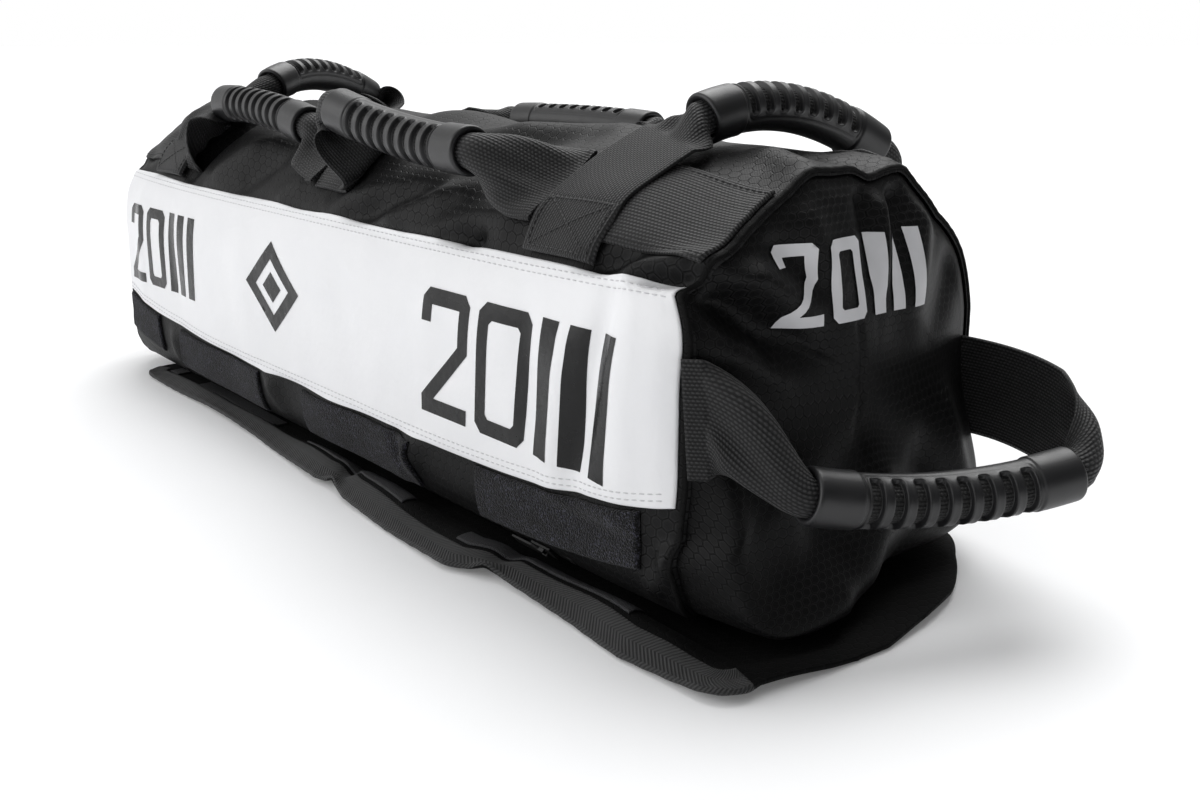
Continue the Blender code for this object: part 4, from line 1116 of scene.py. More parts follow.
def inside_rings(spots, rings):
    """True where a spot lies inside an odd number of closed rings."""
    count = np.zeros(len(spots), int)
    for ring in rings:
        for (u0, v0), (u1, v1) in zip(ring, np.roll(ring, -1, 0)):
            crosses = (v0 > spots[:, 1]) != (v1 > spots[:, 1])
            slope = (u1 - u0) * (spots[:, 1] - v0) / np.where(v1 == v0, 1e-12, v1 - v0) + u0
            count += crosses & (spots[:, 0] < slope)
    return count % 2 == 1


def print_film(name, outline, holes, to_surface, finish, slot):
    """Flat outline with holes, cut into small triangles and laid on a surface."""
    rings = [np.asarray(ring, float) for ring in (outline, *holes)]
    points, edges = [], []
    for ring in rings:
        start = len(points)
        for a, b in zip(ring, np.roll(ring, -1, 0)):
            count = max(1, math.ceil(np.linalg.norm(b - a) / PRINT_STEP))
            points.extend(a + (b - a) * np.arange(count)[:, None] / count)
        edges.extend((k, k + 1) for k in range(start, len(points) - 1))
        edges.append((len(points) - 1, start))
    low, high = rings[0].min(0), rings[0].max(0)
    u, v = np.meshgrid(np.arange(low[0], high[0], PRINT_STEP), np.arange(low[1], high[1], PRINT_STEP))
    spots = np.stack([u.ravel(), v.ravel()], -1)
    gap = np.linalg.norm(spots[:, None] - np.array(points)[None], axis=-1).min(1)
    points.extend(spots[inside_rings(spots, rings) & (gap > PRINT_STEP * 0.45)])
    flat, _, triangles, *_ = delaunay_2d_cdt([Vector(p) for p in points], edges, [], 0, 1e-7)
    flat, triangles = np.array([tuple(p) for p in flat]), np.array(triangles)
    triangles = triangles[inside_rings(flat[triangles].mean(1), rings)]
    mesh = bpy.data.meshes.new(name)
    mesh.from_pydata(to_surface(flat[:, 0], flat[:, 1]).tolist(), [], triangles.tolist())
    mesh.shade_smooth()
    mesh.materials.append(finish)
    made = bpy.data.objects.new(name, mesh)
    bpy.context.scene.collection.objects.link(made)
    return place(made, "bag", slot)


def chamfered(low_u, low_v, high_u, high_v, cut):
    """Rectangle with its four corners cut off."""
    return [(low_u + cut, low_v), (high_u - cut, low_v), (high_u, low_v + cut), (high_u, high_v - cut),
            (high_u - cut, high_v), (low_u + cut, high_v), (low_u, high_v - cut), (low_u, low_v + cut)]


def two(wide, stroke, cut):
    """Outline of a two, one high."""
    return [(0, 0), (wide, 0), (wide, stroke), (stroke * 1.3, stroke), (wide, 0.56), (wide, 1 - cut),
            (wide - cut, 1), (cut, 1), (0, 1 - cut), (0, 0.74), (stroke, 0.74), (stroke, 1 - stroke),
            (wide - stroke, 1 - stroke), (wide - stroke, 0.60), (0, stroke * 1.1)]


def nought(wide, stroke, cut):
    """Outline and hole of a nought, one high."""
    return chamfered(0, 0, wide, 1, cut), chamfered(stroke, stroke, wide - stroke, 1 - stroke, cut * 0.45)


def lozenge(share):
    """Ring of a lozenge at a share of its full size."""
    wide, up = 0.034, 0.056 * share / 2
    return [(wide * (1 - share), 0), (wide, -up), (wide * (1 + share), 0), (wide, up)]


def number_row(name, to_surface, height, finish, slot, wide, stroke=0.125, gap=0.115):
    """A plain twenty and three plain bars, in a row with gaps."""
    def scaled(points, start):
        """Points moved along the row and brought to its height."""
        return [((start + u) * height, v * height) for u, v in points]

    cut = 0.075
    print_film(f"{name}_two", scaled(two(wide, stroke, cut), 0), [], to_surface, finish, slot)
    outer, hole = nought(wide, stroke, cut)
    start = wide + gap
    print_film(f"{name}_nought", scaled(outer, start), [scaled(hole, start)], to_surface, finish, slot)
    start += wide + gap
    bar = [(0, 0), (stroke * 1.5, 0), (stroke * 1.5, 1), (0, 1)]
    for number in range(3):
        print_film(f"{name}_bar_{number + 1}", scaled(bar, start), [], to_surface, finish, slot)
        start += stroke * 1.5 + gap


def on_band(start_x, start_angle, lean):
    """Surface function of the band, from a corner, with leaning uprights."""
    base = girth_at(start_angle)
    return lambda u, v: on_bag(start_x + u + lean * v, angle_at(base + v), BAND_FACE)


def prints():
    """Numbers near both ends of the band and a plain lozenge between them."""
    number_row("print_near", on_band(0.1165, -20.5, 0.10), 0.066, PRINT_BLACK, "white_vinyl", wide=0.60)
    number_row("print_far", on_band(-0.290, -15.5, 0.10), 0.057, PRINT_BLACK, "white_vinyl", wide=0.52)
    surface = on_band(-0.084, 0.0, 0.0)
    print_film("print_lozenge", lozenge(1.0), [lozenge(0.62)], surface, PRINT_BLACK, "white_vinyl")
    print_film("print_lozenge_heart", lozenge(0.34), [], surface, PRINT_BLACK, "white_vinyl")
    number_row("print_end", lambda u, v: panel_point(1, -0.052 + u, 0.133 + v, 0.0006), 0.035, PRINT_WHITE,
               "ripstop_fabric", wide=0.60, stroke=0.15, gap=0.17)


prints()

# %% [markdown]
# ## The handles
#
# A handle is a moulded grip on a strap. The strap leaves the bag flat, gathers
# and rolls up until it fits the grip's bore, runs through, and opens again on
# the other side. The line of each handle is three curves: a bend from the bag
# to the grip, the grip's own bow, and a bend back. First come those curves.

# %% Lines of the handles
GRIP_LENGTH, COLLAR_LENGTH = 0.128, 0.021
GRIP_RADIUS, COLLAR_RADIUS, BORE_RADIUS = 0.0115, 0.01225, 0.0089
ROLL_RADIUS, ROLL_TURN = 0.0076, 6.1
END_GRIP = {"reach": 0.065, "slip": 0.010, "drop": 0.031, "sag": 0.0066, "turn": 22.5, "tilt": 2.3}


def plain_skin(x, angle, lift=0.0):
    """Point on the bag without its folds."""
    y, z, normal_y, normal_z = section(np.asarray(angle, float))
    return np.array([x, y + normal_y * lift, z + MIDDLE_Z + normal_z * lift], float)


def bow(ends, share):
    """Points and directions on the parabola through a start, middle and end."""
    start, middle, end = (np.asarray(p, float) for p in ends)
    share = np.asarray(share, float)[:, None]
    rise = middle - (start + end) / 2
    points = start + (end - start) * share + rise * (4 * share * (1 - share))
    return points, unit((end - start) + rise * (4 - 8 * share))


def bend(start, start_pull, end, end_pull, share):
    """Points and directions on the cubic with given ends and end pulls."""
    s = np.asarray(share, float)[:, None]
    points = (start * (2 * s**3 - 3 * s**2 + 1) + start_pull * (s**3 - 2 * s**2 + s)
              + end * (3 * s**2 - 2 * s**3) + end_pull * (s**3 - s**2))
    ways = (start * (6 * s**2 - 6 * s) + start_pull * (3 * s**2 - 4 * s + 1)
            + end * (6 * s - 6 * s**2) + end_pull * (3 * s**2 - 2 * s))
    return points, unit(ways)


def grip_spot(x, angle, room):
    """Centre of a grip that clears the bag by a share of its thickness."""
    return plain_skin(x, angle, 2 * COLLAR_RADIUS * (0.5 + room))


def along_grip(x, angles, rooms):
    """Start, middle and end of a grip that runs along the bag."""
    return [grip_spot(*spot) for spot in zip((x - GRIP_LENGTH / 2, x, x + GRIP_LENGTH / 2), angles, rooms)]


def cross_grip(x, angle, lean_share, rooms):
    """Start, middle and end of a grip that runs over the bag's top."""
    lean = lean_share * GRIP_LENGTH / 2
    turn = math.degrees(math.sqrt((GRIP_LENGTH / 2) ** 2 - lean**2) / (HALF_WIDTH + 2 * COLLAR_RADIUS))
    spots = zip((x - lean, x, x + lean), (angle - turn, angle, angle + turn), rooms)
    return [grip_spot(*spot) for spot in spots]


def skin_ways(x, angle, level):
    """Point, outward way and way of growing angle on the plain bag."""
    point = plain_skin(x, angle, level + WEBBING_THICKNESS / 2)
    ahead = unit(plain_skin(x, angle + 0.5) - plain_skin(x, angle - 0.5))
    outward = np.cross([1.0, 0, 0], ahead)
    if outward @ (point - [x, 0, MIDDLE_Z]) < 0:
        outward = -outward
    return point, outward, ahead


def cross_root(x, angle, lift=0.0):
    """Root of a strap that crosses the bag: point, way and side."""
    point, outward, ahead = skin_ways(x, angle, CROSS_LIFT)
    return point, unit(ahead + outward * lift), np.array([1.0, 0, 0])


def along_root(x, angle):
    """Root of a strap that runs along the bag: point, way and side."""
    point, _, ahead = skin_ways(x, angle, STRAP_LIFT)
    return point, np.array([1.0, 0, 0]), ahead


def plain_panel(side, y, z, lift):
    """Point off an end panel without its folds."""
    turn = math.degrees(math.atan2(z - MIDDLE_Z, -y))
    share = math.hypot(y, z - MIDDLE_Z) / math.hypot(*section(turn)[:2])
    up = math.sin(math.radians(turn)) * share
    toe = float(smooth(-1.2 * up)) * (1 - min(1.0, share**20))
    depth = PANEL_CROWN * (1 - min(1.0, share**2)) + PANEL_TOE * toe
    return np.array([side * (HALF_LENGTH + 0.0015 + depth + lift), y, z])


def end_root(side, y, z, way):
    """Root of a hanging handle's strap on an end panel: point, way and side."""
    seat = STRAP_LIFT + WEBBING_THICKNESS / 2 * abs(float(unit(way)[1]))
    low = plain_panel(side, y, z - WEBBING_WIDTH / 2, seat)
    high = plain_panel(side, y, z + WEBBING_WIDTH / 2, seat)
    point = (low + high) / 2
    point[0] = side * max(abs(point[0]), abs(plain_panel(side, y, z, seat)[0]))
    return point, np.asarray(way, float), unit(high - low) * side


def end_handle(side):
    """Line of the hanging handle at one end; the far front root lies 6 mm farther in."""
    centre = np.array([side * (HALF_LENGTH + END_GRIP["reach"]), -END_GRIP["slip"],
                       MIDDLE_Z - END_GRIP["drop"]])
    turn, tilt = math.radians(END_GRIP["turn"]), math.radians(END_GRIP["tilt"])
    level, drop = math.cos(tilt) * GRIP_LENGTH / 2, math.sin(tilt) * GRIP_LENGTH / 2
    half = np.array([side * level * math.sin(turn), level * math.cos(turn), -drop])
    edge, front = side * HALF_LENGTH, -0.094 if side > 0 else -0.088
    return {"grip": [centre - half, centre - [0, 0, END_GRIP["sag"]], centre + half],
            "roots": (end_root(side, front, MIDDLE_Z, [side * 0.75, 0.66, 0]),
                      end_root(side, 0.094, MIDDLE_Z - 0.020, [side, 0.05, 0])),
            "pulls": ((0.26, 0.22), (1.09, 0.55)), "opens": (0.02, 0.40), "haste": (0.55, 1),
            "side": (0, 0, side), "face": (side, 0, -0.1), "away": (side, 0, 0), "hugging": 0,
            "turning": ((edge + side * 0.002, 0, 0.09), (edge + side * 0.024, 0, 0.09))}


# Each handle has its grip's line, the roots of its two straps, and how hard the
# curve pulls at root and grip, in shares of the grip's length. It may say where
# along a strap the roll starts (opens), how soon it closes (haste) and how wide
# the strap stays at its root (widths). Then come the ways across the strap, out
# of the grip's front and away from the bag, whether the hidden end dips under
# the piece sewn over it (hugging), and the two points between which the webbing
# passes from the bag to the handle (turning).
def handle_lines():
    """Grip line, roots, pulls and ways of the seven handles."""
    lip = 45 + math.degrees(0.0012 / 2 / float(np.hypot(*section(STRAP_ANGLE)[:2])))
    near, far, tack = NEAR_CROSS_X, FAR_CROSS_X, TACK_HALF + 0.0003
    front_side, back_side = (0, 0.7, 0.7), (0, 0.7, -0.7)
    front, back = plain_skin(0, STRAP_ANGLE), plain_skin(0, 180 - STRAP_ANGLE)
    front_out, back_out = np.array([0, -0.7, 0.7]), np.array([0, 0.7, 0.7])
    over = ((0, 0, 0.179), (0, 0, 0.192))
    return {
        "cross_near": {"grip": cross_grip(near + 0.022, 107, 0.08, (0.05, 0.25, 0.55)),
                       "roots": (cross_root(near, lip), cross_root(near, 180 - lip)),
                       "pulls": ((0.39, 0.23), (-0.23, 0.86)), "opens": (0.66, 0.4), "side": (1, 0, 0),
                       "face": (0.45, 0, 0.89), "away": (0, 0, 1), "turning": over},
        "cross_far": {"grip": cross_grip(far + 0.0035, 104.5, -0.39, (0.14, 0.43, 0.65)),
                      "roots": (cross_root(far, lip, 0.4), cross_root(far, 180 - lip, -0.4)),
                      "pulls": ((0.55, 0.39), (-0.35, 0.70)), "widths": (0.85, 1), "side": (1, 0, 0),
                      "face": (0, 0, 1), "away": (0, 0, 1), "turning": over},
        "front_near": {"grip": along_grip(0.0835, (49.5, 47.5, 46), (0.96, 0.57, 0.53)),
                       "roots": (along_root(tack, STRAP_ANGLE), along_root(near - 0.0253, STRAP_ANGLE)),
                       "pulls": ((0.47, 0.78), (-0.23, 0.23)), "opens": (0.35, 0.10), "side": front_side,
                       "face": (0, -1, -0.1), "away": front_out,
                       "turning": (front + front_out * 0.002, front + front_out * 0.012)},
        "front_far": {"grip": along_grip(-0.117, (57, 56, 53), (0.25, 0.25, 0.05)),
                      "roots": (along_root(far + 0.031, STRAP_ANGLE - 5), along_root(-tack, STRAP_ANGLE)),
                      "pulls": ((0.08, 0.31), (-0.31, 0.39)), "widths": (0.55, 1), "side": front_side,
                      "face": (0, -0.95, 0.3), "away": front_out,
                      "turning": (front + front_out * 0.002, front + front_out * 0.009)},
        "back_middle": {"grip": along_grip(0.032, (130, 130, 130), (0.12, 0.20, 0.12)),
                        "roots": (along_root(BACK_LOOP[0] + 0.0003, 180 - STRAP_ANGLE),
                                  along_root(BACK_LOOP[1] - 0.0003, 180 - STRAP_ANGLE)),
                        "pulls": ((0.31, 0.31), (-0.23, 0.23)), "side": back_side, "face": (0, 0.6, 0.8),
                        "away": back_out, "turning": (back + back_out * 0.002, back + back_out * 0.010)},
        "end_near": end_handle(1),
        "end_far": end_handle(-1),
    }


HANDLES = handle_lines()
print("handles", ", ".join(HANDLES))

# %% [markdown]
# ### Straps that roll up
#
# The strap's section is a curve whose length is always the strap's width. With
# a small turn it is nearly flat with curled edges, with a turn close to a full
# circle it is a roll. The turn grows smoothly from the bag to the grip, and a
# few lengthwise waves, strongest half way, give the puckers of gathered
# webbing.

# %% Rolled webbing
def rolled_section(turn, across, rolled):
    """Offsets to the side and out of a strap curled over, and its normals.

    The direction across the strap turns by half the turn from the middle to an
    edge, as a power of the place: a high power curls only the edges, power one
    gives an arc. The offsets are the running sums of that direction.
    """
    power = (3.2 - 2.2 * smooth(rolled / 0.9))[:, None]
    fine = np.linspace(-0.5, 0.5, 8 * (len(across) - 1) + 1)
    middle = (fine[1:] + fine[:-1]) / 2
    angle = turn[:, None] / 2 * np.sign(middle) * np.abs(2 * middle) ** power
    step = WEBBING_WIDTH / (len(fine) - 1)
    sideways, out = (np.concatenate([0 * turn[:, None], np.cumsum(step * part, 1)], 1)[:, ::8]
                     for part in (np.cos(angle), -np.sin(angle)))
    half = len(across) // 2
    sideways, out = sideways - sideways[:, half:half + 1], out - out[:, half:half + 1]
    tuck = 1 - 0.16 * np.abs(2 * across[None, :]) ** 3 * smooth(rolled)[:, None]
    angle = turn[:, None] / 2 * np.sign(across) * np.abs(2 * across) ** power
    return sideways * tuck, out * tuck, np.sin(angle), np.cos(angle)


def strap_stations(line):
    """Points, ways, sides and roll of a whole strap from root to root."""
    share, tucked = np.linspace(0, 1, 64), 6
    (start, _, end), side = line["grip"], np.asarray(line["side"], float)
    _, ways = bow(line["grip"], [0.0, 1.0])
    found = []
    for number, (mouth, mouth_way) in enumerate(((start, ways[0]), (end, -ways[1]))):
        root, root_way, root_side = line["roots"][number]
        first, last = line["pulls"][number]
        points, slopes = bend(root, root_way * (first * GRIP_LENGTH),
                              mouth, mouth_way * (last * GRIP_LENGTH), share)
        turn = smooth(share)[:, None]
        sides = unit(root_side * (1 - turn) + side * turn)
        free = smooth(share / 0.5)[:, None]
        square = unit(sides - slopes * (sides * slopes).sum(-1, keepdims=True))
        sides = unit(sides * (1 - free) + square * free)
        width = line.get("widths", (1, 1))[number]
        opens = line.get("opens", (0.45, 0.45))[number]
        haste = line.get("haste", (1, 1))[number]
        rolled = np.clip((share - opens) / (0.97 - opens), 0, 1) ** haste
        rolled = np.maximum(rolled, math.sqrt(max(0.0, 1 - width)) * 0.75 * (1 - smooth(share / 0.5)))
        tuck = np.linspace(0.008, 0.001, tucked)[:, None]
        out = unit(np.cross(root_way, root_side))
        out = out * np.sign(out @ np.asarray(line["away"], float)) * line.get("hugging", 1)
        under = root - root_way * tuck - out * (0.0012 * tuck / 0.008)
        points = np.concatenate([under, points])
        slopes = np.concatenate([np.tile(unit(root_way), (tucked, 1)), slopes])
        sides = np.concatenate([np.tile(root_side, (tucked, 1)), sides])
        rolled = np.concatenate([np.full(tucked, rolled[0]), rolled])
        shares = np.concatenate([np.zeros(tucked), share])
        found.append((points, slopes if number == 0 else -slopes, sides, rolled, shares))
    inside = np.linspace(0, 1, 42)[1:-1]
    points, slopes = bow(line["grip"], inside)
    square = unit(side - slopes * (slopes @ side)[:, None])
    middle_part = (points, slopes, square, np.ones(len(inside)), np.ones(len(inside)))
    parts = (found[0], middle_part, tuple(part[::-1] for part in found[1]))
    return [np.concatenate([part[k] for part in parts]) for k in range(5)]


def handle_strap(name, line, seed):
    """One strap with two faces and rounded edges, rolled up at its grip."""
    points, ways, sides, rolled, share = strap_stations(line)
    out = unit(np.cross(ways, sides))
    away = np.asarray(line["away"], float)
    out = out * np.sign((out @ away).mean())
    across = np.linspace(-0.5, 0.5, 41)
    turn = ROLL_TURN * rolled
    side_off, out_off, normal_side, normal_out = rolled_section(turn, across, rolled)
    random = np.random.default_rng(seed)
    free = 4 * rolled * (1 - rolled) * (share < 1)
    wave = np.zeros((len(points), len(across)))
    for count, size in ((1.5, 0.0011), (2.5, 0.0009), (4.0, 0.0005)):
        phase = random.uniform(0, 6.28)
        wave += size * np.sin(2 * np.pi * count * across[None, :] + phase + 2.5 * share[:, None])
    wave *= free[:, None]
    side_off = side_off + normal_side * wave
    out_off = out_off + normal_out * wave + (ROLL_RADIUS * smooth(rolled))[:, None]
    middle = (points[:, None, :] + side_off[..., None] * sides[:, None, :]
              + out_off[..., None] * out[:, None, :])
    if not name.startswith("end"):
        angle = np.degrees(np.arctan2(middle[..., 2] - MIDDLE_Z, -middle[..., 1]))
        near_root = (1 - smooth(share / 0.5))[:, None]
        lift = relief(middle[..., 0], angle) * near_root
        _, _, normal_y, normal_z = section(angle)
        middle = middle + np.stack([0 * lift, normal_y * lift, normal_z * lift], -1)
    normal = normal_side[..., None] * sides[:, None, :] + normal_out[..., None] * out[:, None, :]
    half = np.full(len(across), WEBBING_THICKNESS / 2)
    half[[0, -1]] *= 0.55
    upper = middle + normal * half[None, :, None]
    lower = middle - normal * half[None, :, None]
    ring = np.concatenate([upper, lower[:, ::-1]], 1)
    core = np.concatenate([middle, middle[:, ::-1]], 1)
    ring = np.concatenate([core[:1], ring, core[-1:]])
    core = np.concatenate([core[:1], core, core[-1:]])
    run = run_along(points)
    run = np.concatenate([run[:1] - 0.001, run, run[-1:] + 0.001])
    width = np.concatenate([across, across[::-1], across[:1]]) * WEBBING_WIDTH
    made = make_mesh(f"handle_strap_{name}", ring, grid_of(run[:, None], width), wrap=True, inside=core,
                     finishes=[WEBBING])
    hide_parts(f"handle_{name}_webbing")
    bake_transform(made)
    print("webbing of", name, round(float(run[-2]), 3), "m long")
    return made


for number, (name, line) in enumerate(HANDLES.items()):
    handle_strap(name, line, 40 + number)

# %% [markdown]
# ### Moulded grips
#
# A grip is a tube whose radius is a function of the place along it and round
# it: thicker collars with rounded mouths, a fine groove that frames the front,
# and eight finger slots through which the rolled strap shows. The floors of the
# slots carry a darker copy of the webbing, as painted shade. The rows of the
# grid lie close together at the walls of the slots, so those stay crisp.

# %% Moulded grips
SLOT_COUNT, SLOT_HALF, SLOT_REACH, SLOT_ROUND, SLOT_DEPTH = 8, 0.0028, 0.0148, 0.0022, 0.0023
MOUTH_ROUND, MOUTH_RING, STEP_START, STEP_LENGTH = 0.0016, 0.0182, 0.0204, 0.0014
FRAME_END, FRAME_SIDE, FRAME_ROUND = 0.0230, 0.0178, 0.003


def grip_rows():
    """Stations along a grip, and the middles of its slots."""
    clear = COLLAR_LENGTH + 0.0008
    pitch = (GRIP_LENGTH - 2 * clear) / SLOT_COUNT
    slots = clear + pitch * (np.arange(SLOT_COUNT) + 0.5)
    wall = np.array([0.0, 0.0014, 0.0021, 0.00245, 0.0027, 0.0029, 0.0032, 0.0040])
    near_slots = (slots[:, None] + np.concatenate([-wall[:0:-1], wall])[None, :]).ravel()
    mouth = MOUTH_ROUND * (1 - np.cos(np.linspace(0, np.pi / 2, 6)))
    collar = np.concatenate([mouth, np.linspace(0.0030, 0.0195, 8), np.linspace(0.0204, 0.0218, 5),
                             np.linspace(0.0221, 0.0237, 6)])
    return np.unique(np.round(np.concatenate([collar, near_slots, GRIP_LENGTH - collar]), 6)), slots


def box_distance(first, second):
    """Distance outside a box, negative inside, from the distances past its two sides."""
    outside = np.hypot(np.clip(first, 0, None), np.clip(second, 0, None))
    return outside + np.minimum(np.maximum(first, second), 0)


def groove(distance, depth, width):
    """Depth of a soft groove at a distance from its middle."""
    return depth * np.exp(-((distance / width) ** 2))


def grip_radius(s, around):
    """Radius of a grip, and how deep a slot is, at places along and round it."""
    mouth = np.minimum(s, GRIP_LENGTH - s)
    inside = np.clip(MOUTH_ROUND - mouth, 0, None)
    lost = MOUTH_ROUND - np.sqrt(np.clip(MOUTH_ROUND**2 - inside**2, 0, None))
    step = smooth((mouth - STEP_START) / STEP_LENGTH)
    radius = COLLAR_RADIUS - (COLLAR_RADIUS - GRIP_RADIUS) * step - lost
    radius = radius - groove(mouth - MOUTH_RING, 0.0005, 0.0005)
    from_face = np.abs(around * GRIP_RADIUS)
    frame_s = np.abs(s - GRIP_LENGTH / 2) - (GRIP_LENGTH / 2 - FRAME_END - FRAME_ROUND)
    outline = box_distance(frame_s, from_face - (FRAME_SIDE - FRAME_ROUND)) - FRAME_ROUND
    radius = radius - groove(outline, 0.00045, 0.00045)
    from_slot = np.abs(s[..., None] - grip_rows()[1]).min(-1)
    slot_s, slot_a = from_slot - (SLOT_HALF - SLOT_ROUND), from_face - (SLOT_REACH - SLOT_ROUND)
    gap = box_distance(slot_s, slot_a) - SLOT_ROUND
    open_share = smooth((0.00022 - gap) / 0.00044)
    lip = groove(gap - 0.0006, 0.00022, 0.0005)
    return radius + lip * (1 - open_share) - SLOT_DEPTH * open_share, open_share


def moulded_grip(name, line):
    """Closed tube: the outside by grip_radius, the bore back to the start."""
    s = grip_rows()[0]
    sharp = np.array([0, 0.25, 0.5, 0.75, 1.0, 1.15, 1.22, 1.26, 1.29, 1.33, 1.38, 1.46,
                      1.6, 1.8, 2.1, 2.5, 2.85])
    around = np.unique(np.concatenate([-sharp, sharp, [3.0]]))
    around = np.sort(np.concatenate([around, (around[1:] + around[:-1]) / 2]))
    outside, depth = grip_radius(*np.broadcast_arrays(s[:, None], around[None, :]))
    bore_s = np.array([GRIP_LENGTH - 0.0004, GRIP_LENGTH - 0.0014, GRIP_LENGTH * 0.75, GRIP_LENGTH / 2,
                       GRIP_LENGTH * 0.25, 0.0014, 0.0004])
    bore = np.tile(np.array([BORE_RADIUS + 0.0006] + [BORE_RADIUS] * 5 + [BORE_RADIUS + 0.0006])[:, None],
                   (1, len(around)))
    place_s = np.concatenate([s, bore_s])
    radius = np.concatenate([outside, bore])
    points, ways = bow(line["grip"], place_s / GRIP_LENGTH)
    face = np.asarray(line["face"], float)
    faces = unit(face - ways * (ways @ face)[:, None])
    beside = np.cross(ways, faces)
    turned = faces[:, None] * np.cos(around)[None, :, None] + beside[:, None] * np.sin(around)[None, :, None]
    grid = points[:, None] + turned * radius[..., None]
    core = points[:, None] + turned * ((GRIP_RADIUS + BORE_RADIUS) / 2)
    turns = np.append(around, around[0] + 2 * np.pi)
    uv = grid_of(np.append(place_s, 0)[:, None], turns * BORE_RADIUS)
    full = np.zeros(radius.shape)
    full[:len(s)] = depth
    full = np.minimum(full, np.roll(full, -1, 0))
    # Faces deep in the slots take the darker webbing: painted shade inside the slots.
    deep = (np.minimum(full, np.roll(full, -1, 1)) > 0.9).astype(int)
    made = make_mesh(f"grip_{name}", grid, uv, wrap=True, loop=True, inside=core,
                     finishes=[GRIP_PLASTIC, WEBBING_SHADED], slots=deep)
    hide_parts(f"handle_{name}_grip")
    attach(made, f"handle_{name}")
    return made


for name, line in HANDLES.items():
    made = moulded_grip(name, line)
print("one grip", len(made.data.polygons), "faces")

# %% [markdown]
# ## The flap
#
# The bag lies on its own closing flap. The flap is one sheet with rounded
# corners, and beyond the bag it waves a little off the table. Its front edge is
# wrapped in a herringbone tape, with a row of hook strips behind it.

# %% Flap
FLAP_FAR, FLAP_NEAR, FLAP_FRONT, FLAP_BACK = -0.2805, 0.3555, -0.123, 0.092
FLAP_SHEET, FLAP_REST = 0.0022, 0.0018
FLAP_CORNER, ROLL_START = 0.022, -0.0945
# Places along the flap where its front edge puckers up
PUCKERS = (0.040, 0.194)
# The front edge wanders: places along the flap, and how far forward it lies there
EDGE_X = (-0.28, -0.166, -0.074, 0.020, 0.040, 0.060, 0.111, 0.172, 0.186, 0.202, 0.257, 0.292, 0.333, 0.356)
EDGE_Y = (-0.110, -0.109, -0.112, -0.121, -0.119, -0.124, -0.128, -0.131, -0.125, -0.119, -0.121, -0.125,
          -0.122, -0.121)


def edge_line(x):
    """Line of the flap's front edge."""
    return np.interp(x, EDGE_X, EDGE_Y)


# The near end bows: places across the flap, and how far its end is shifted there
BOW_Y = (-0.130, -0.112, -0.101, -0.066, -0.032, -0.001, 0.029, 0.068, 0.092)
BOW_X = (0.004, 0.0, -0.0035, 0.0035, 0.0075, 0.0045, -0.001, -0.013, -0.015)


def bowed(x, y):
    """Places along the flap with its near end bowed."""
    return x + np.interp(y, BOW_Y, BOW_X) * smooth((x - 0.25) / 0.095)


def flap_middle(x, y):
    """Height of the flap's middle: flat under the bag, in a low roll in front of it."""
    reach = ROLL_START - edge_line(x)
    share = np.clip((ROLL_START - y) / reach, 0, 1)
    room = np.clip(reach / 0.026, 0.3, 1.1)
    roll = np.sin(np.pi * share**0.8) ** 1.3
    tall = 0.0060 + 0.0014 * np.sin(x / 0.043 + 0.7) + 0.0008 * np.sin(x / 0.0147 + 2.0)
    tall = tall * room * smooth((x - FLAP_FAR) / 0.06) * smooth((FLAP_NEAR - x) / 0.05)
    dip = sum(np.exp(-(((x - place) / 0.0065) ** 2)) for place in PUCKERS)
    edge = 0.0010 + 0.0010 * np.sin(x / 0.026 + 0.4) + 0.0034 * dip
    end = smooth((x - 0.318) / 0.036) * np.clip(0.0016 + 0.0018 * np.sin(y / 0.017 + 1.0), 0, None)
    return FLAP_REST + roll * tall * (1 - 0.75 * np.clip(dip, 0, 1)) + share**3 * np.clip(edge, 0, None) + end


def flap_cloth():
    """Flap: a grid stretched between its front and back outlines."""
    middle = np.linspace(FLAP_FAR + 0.03, FLAP_NEAR - 0.03, 170)
    turn = np.linspace(0, np.pi / 2, 26)
    ends = 0.03 * (1 - np.cos(turn))
    x = np.unique(np.concatenate([FLAP_FAR + ends, middle, FLAP_NEAR - ends]))
    from_end = np.minimum(x - FLAP_FAR, FLAP_NEAR - x)
    rounding = np.clip(FLAP_CORNER - from_end, 0, None)
    front_cut = FLAP_CORNER - np.sqrt(np.clip(FLAP_CORNER**2 - rounding**2, 0, None))
    back_cut = 0.086 * (1 - np.sqrt(np.clip(1 - (np.clip(0.044 - from_end, 0, None) / 0.044) ** 2, 0, None)))
    front, back = edge_line(x) + front_cut, FLAP_BACK - back_cut
    share = np.concatenate([np.linspace(0, 0.22, 36), np.linspace(0.22, 1, 40)[1:]])
    y = front[:, None] + (back - front)[:, None] * share[None, :]
    place_x = np.broadcast_to(x[:, None], y.shape)
    points = np.stack([bowed(place_x, y), y, flap_middle(place_x, y) + FLAP_SHEET / 2], -1)
    uv = np.stack([place_x, y], -1)
    below = points - [0, 0, 1.0]
    # The flap takes the darker ripstop: painted shade for the shade of the bag.
    made = make_mesh("flap_cloth", points, uv, inside=below, finishes=[RIPSTOP_SHADED])
    thicken(made, FLAP_SHEET)
    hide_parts("flap_inner", "flap_front")
    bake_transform(made)
    return made


flap_cloth()
print("flap", round(FLAP_NEAR - FLAP_FAR, 3), "m long")

# %% [markdown]
# ### Binding and hook strips
#
# The tape is folded over the edge, so its section is a narrow C that follows
# the flap's front line and turns round both corners with it.

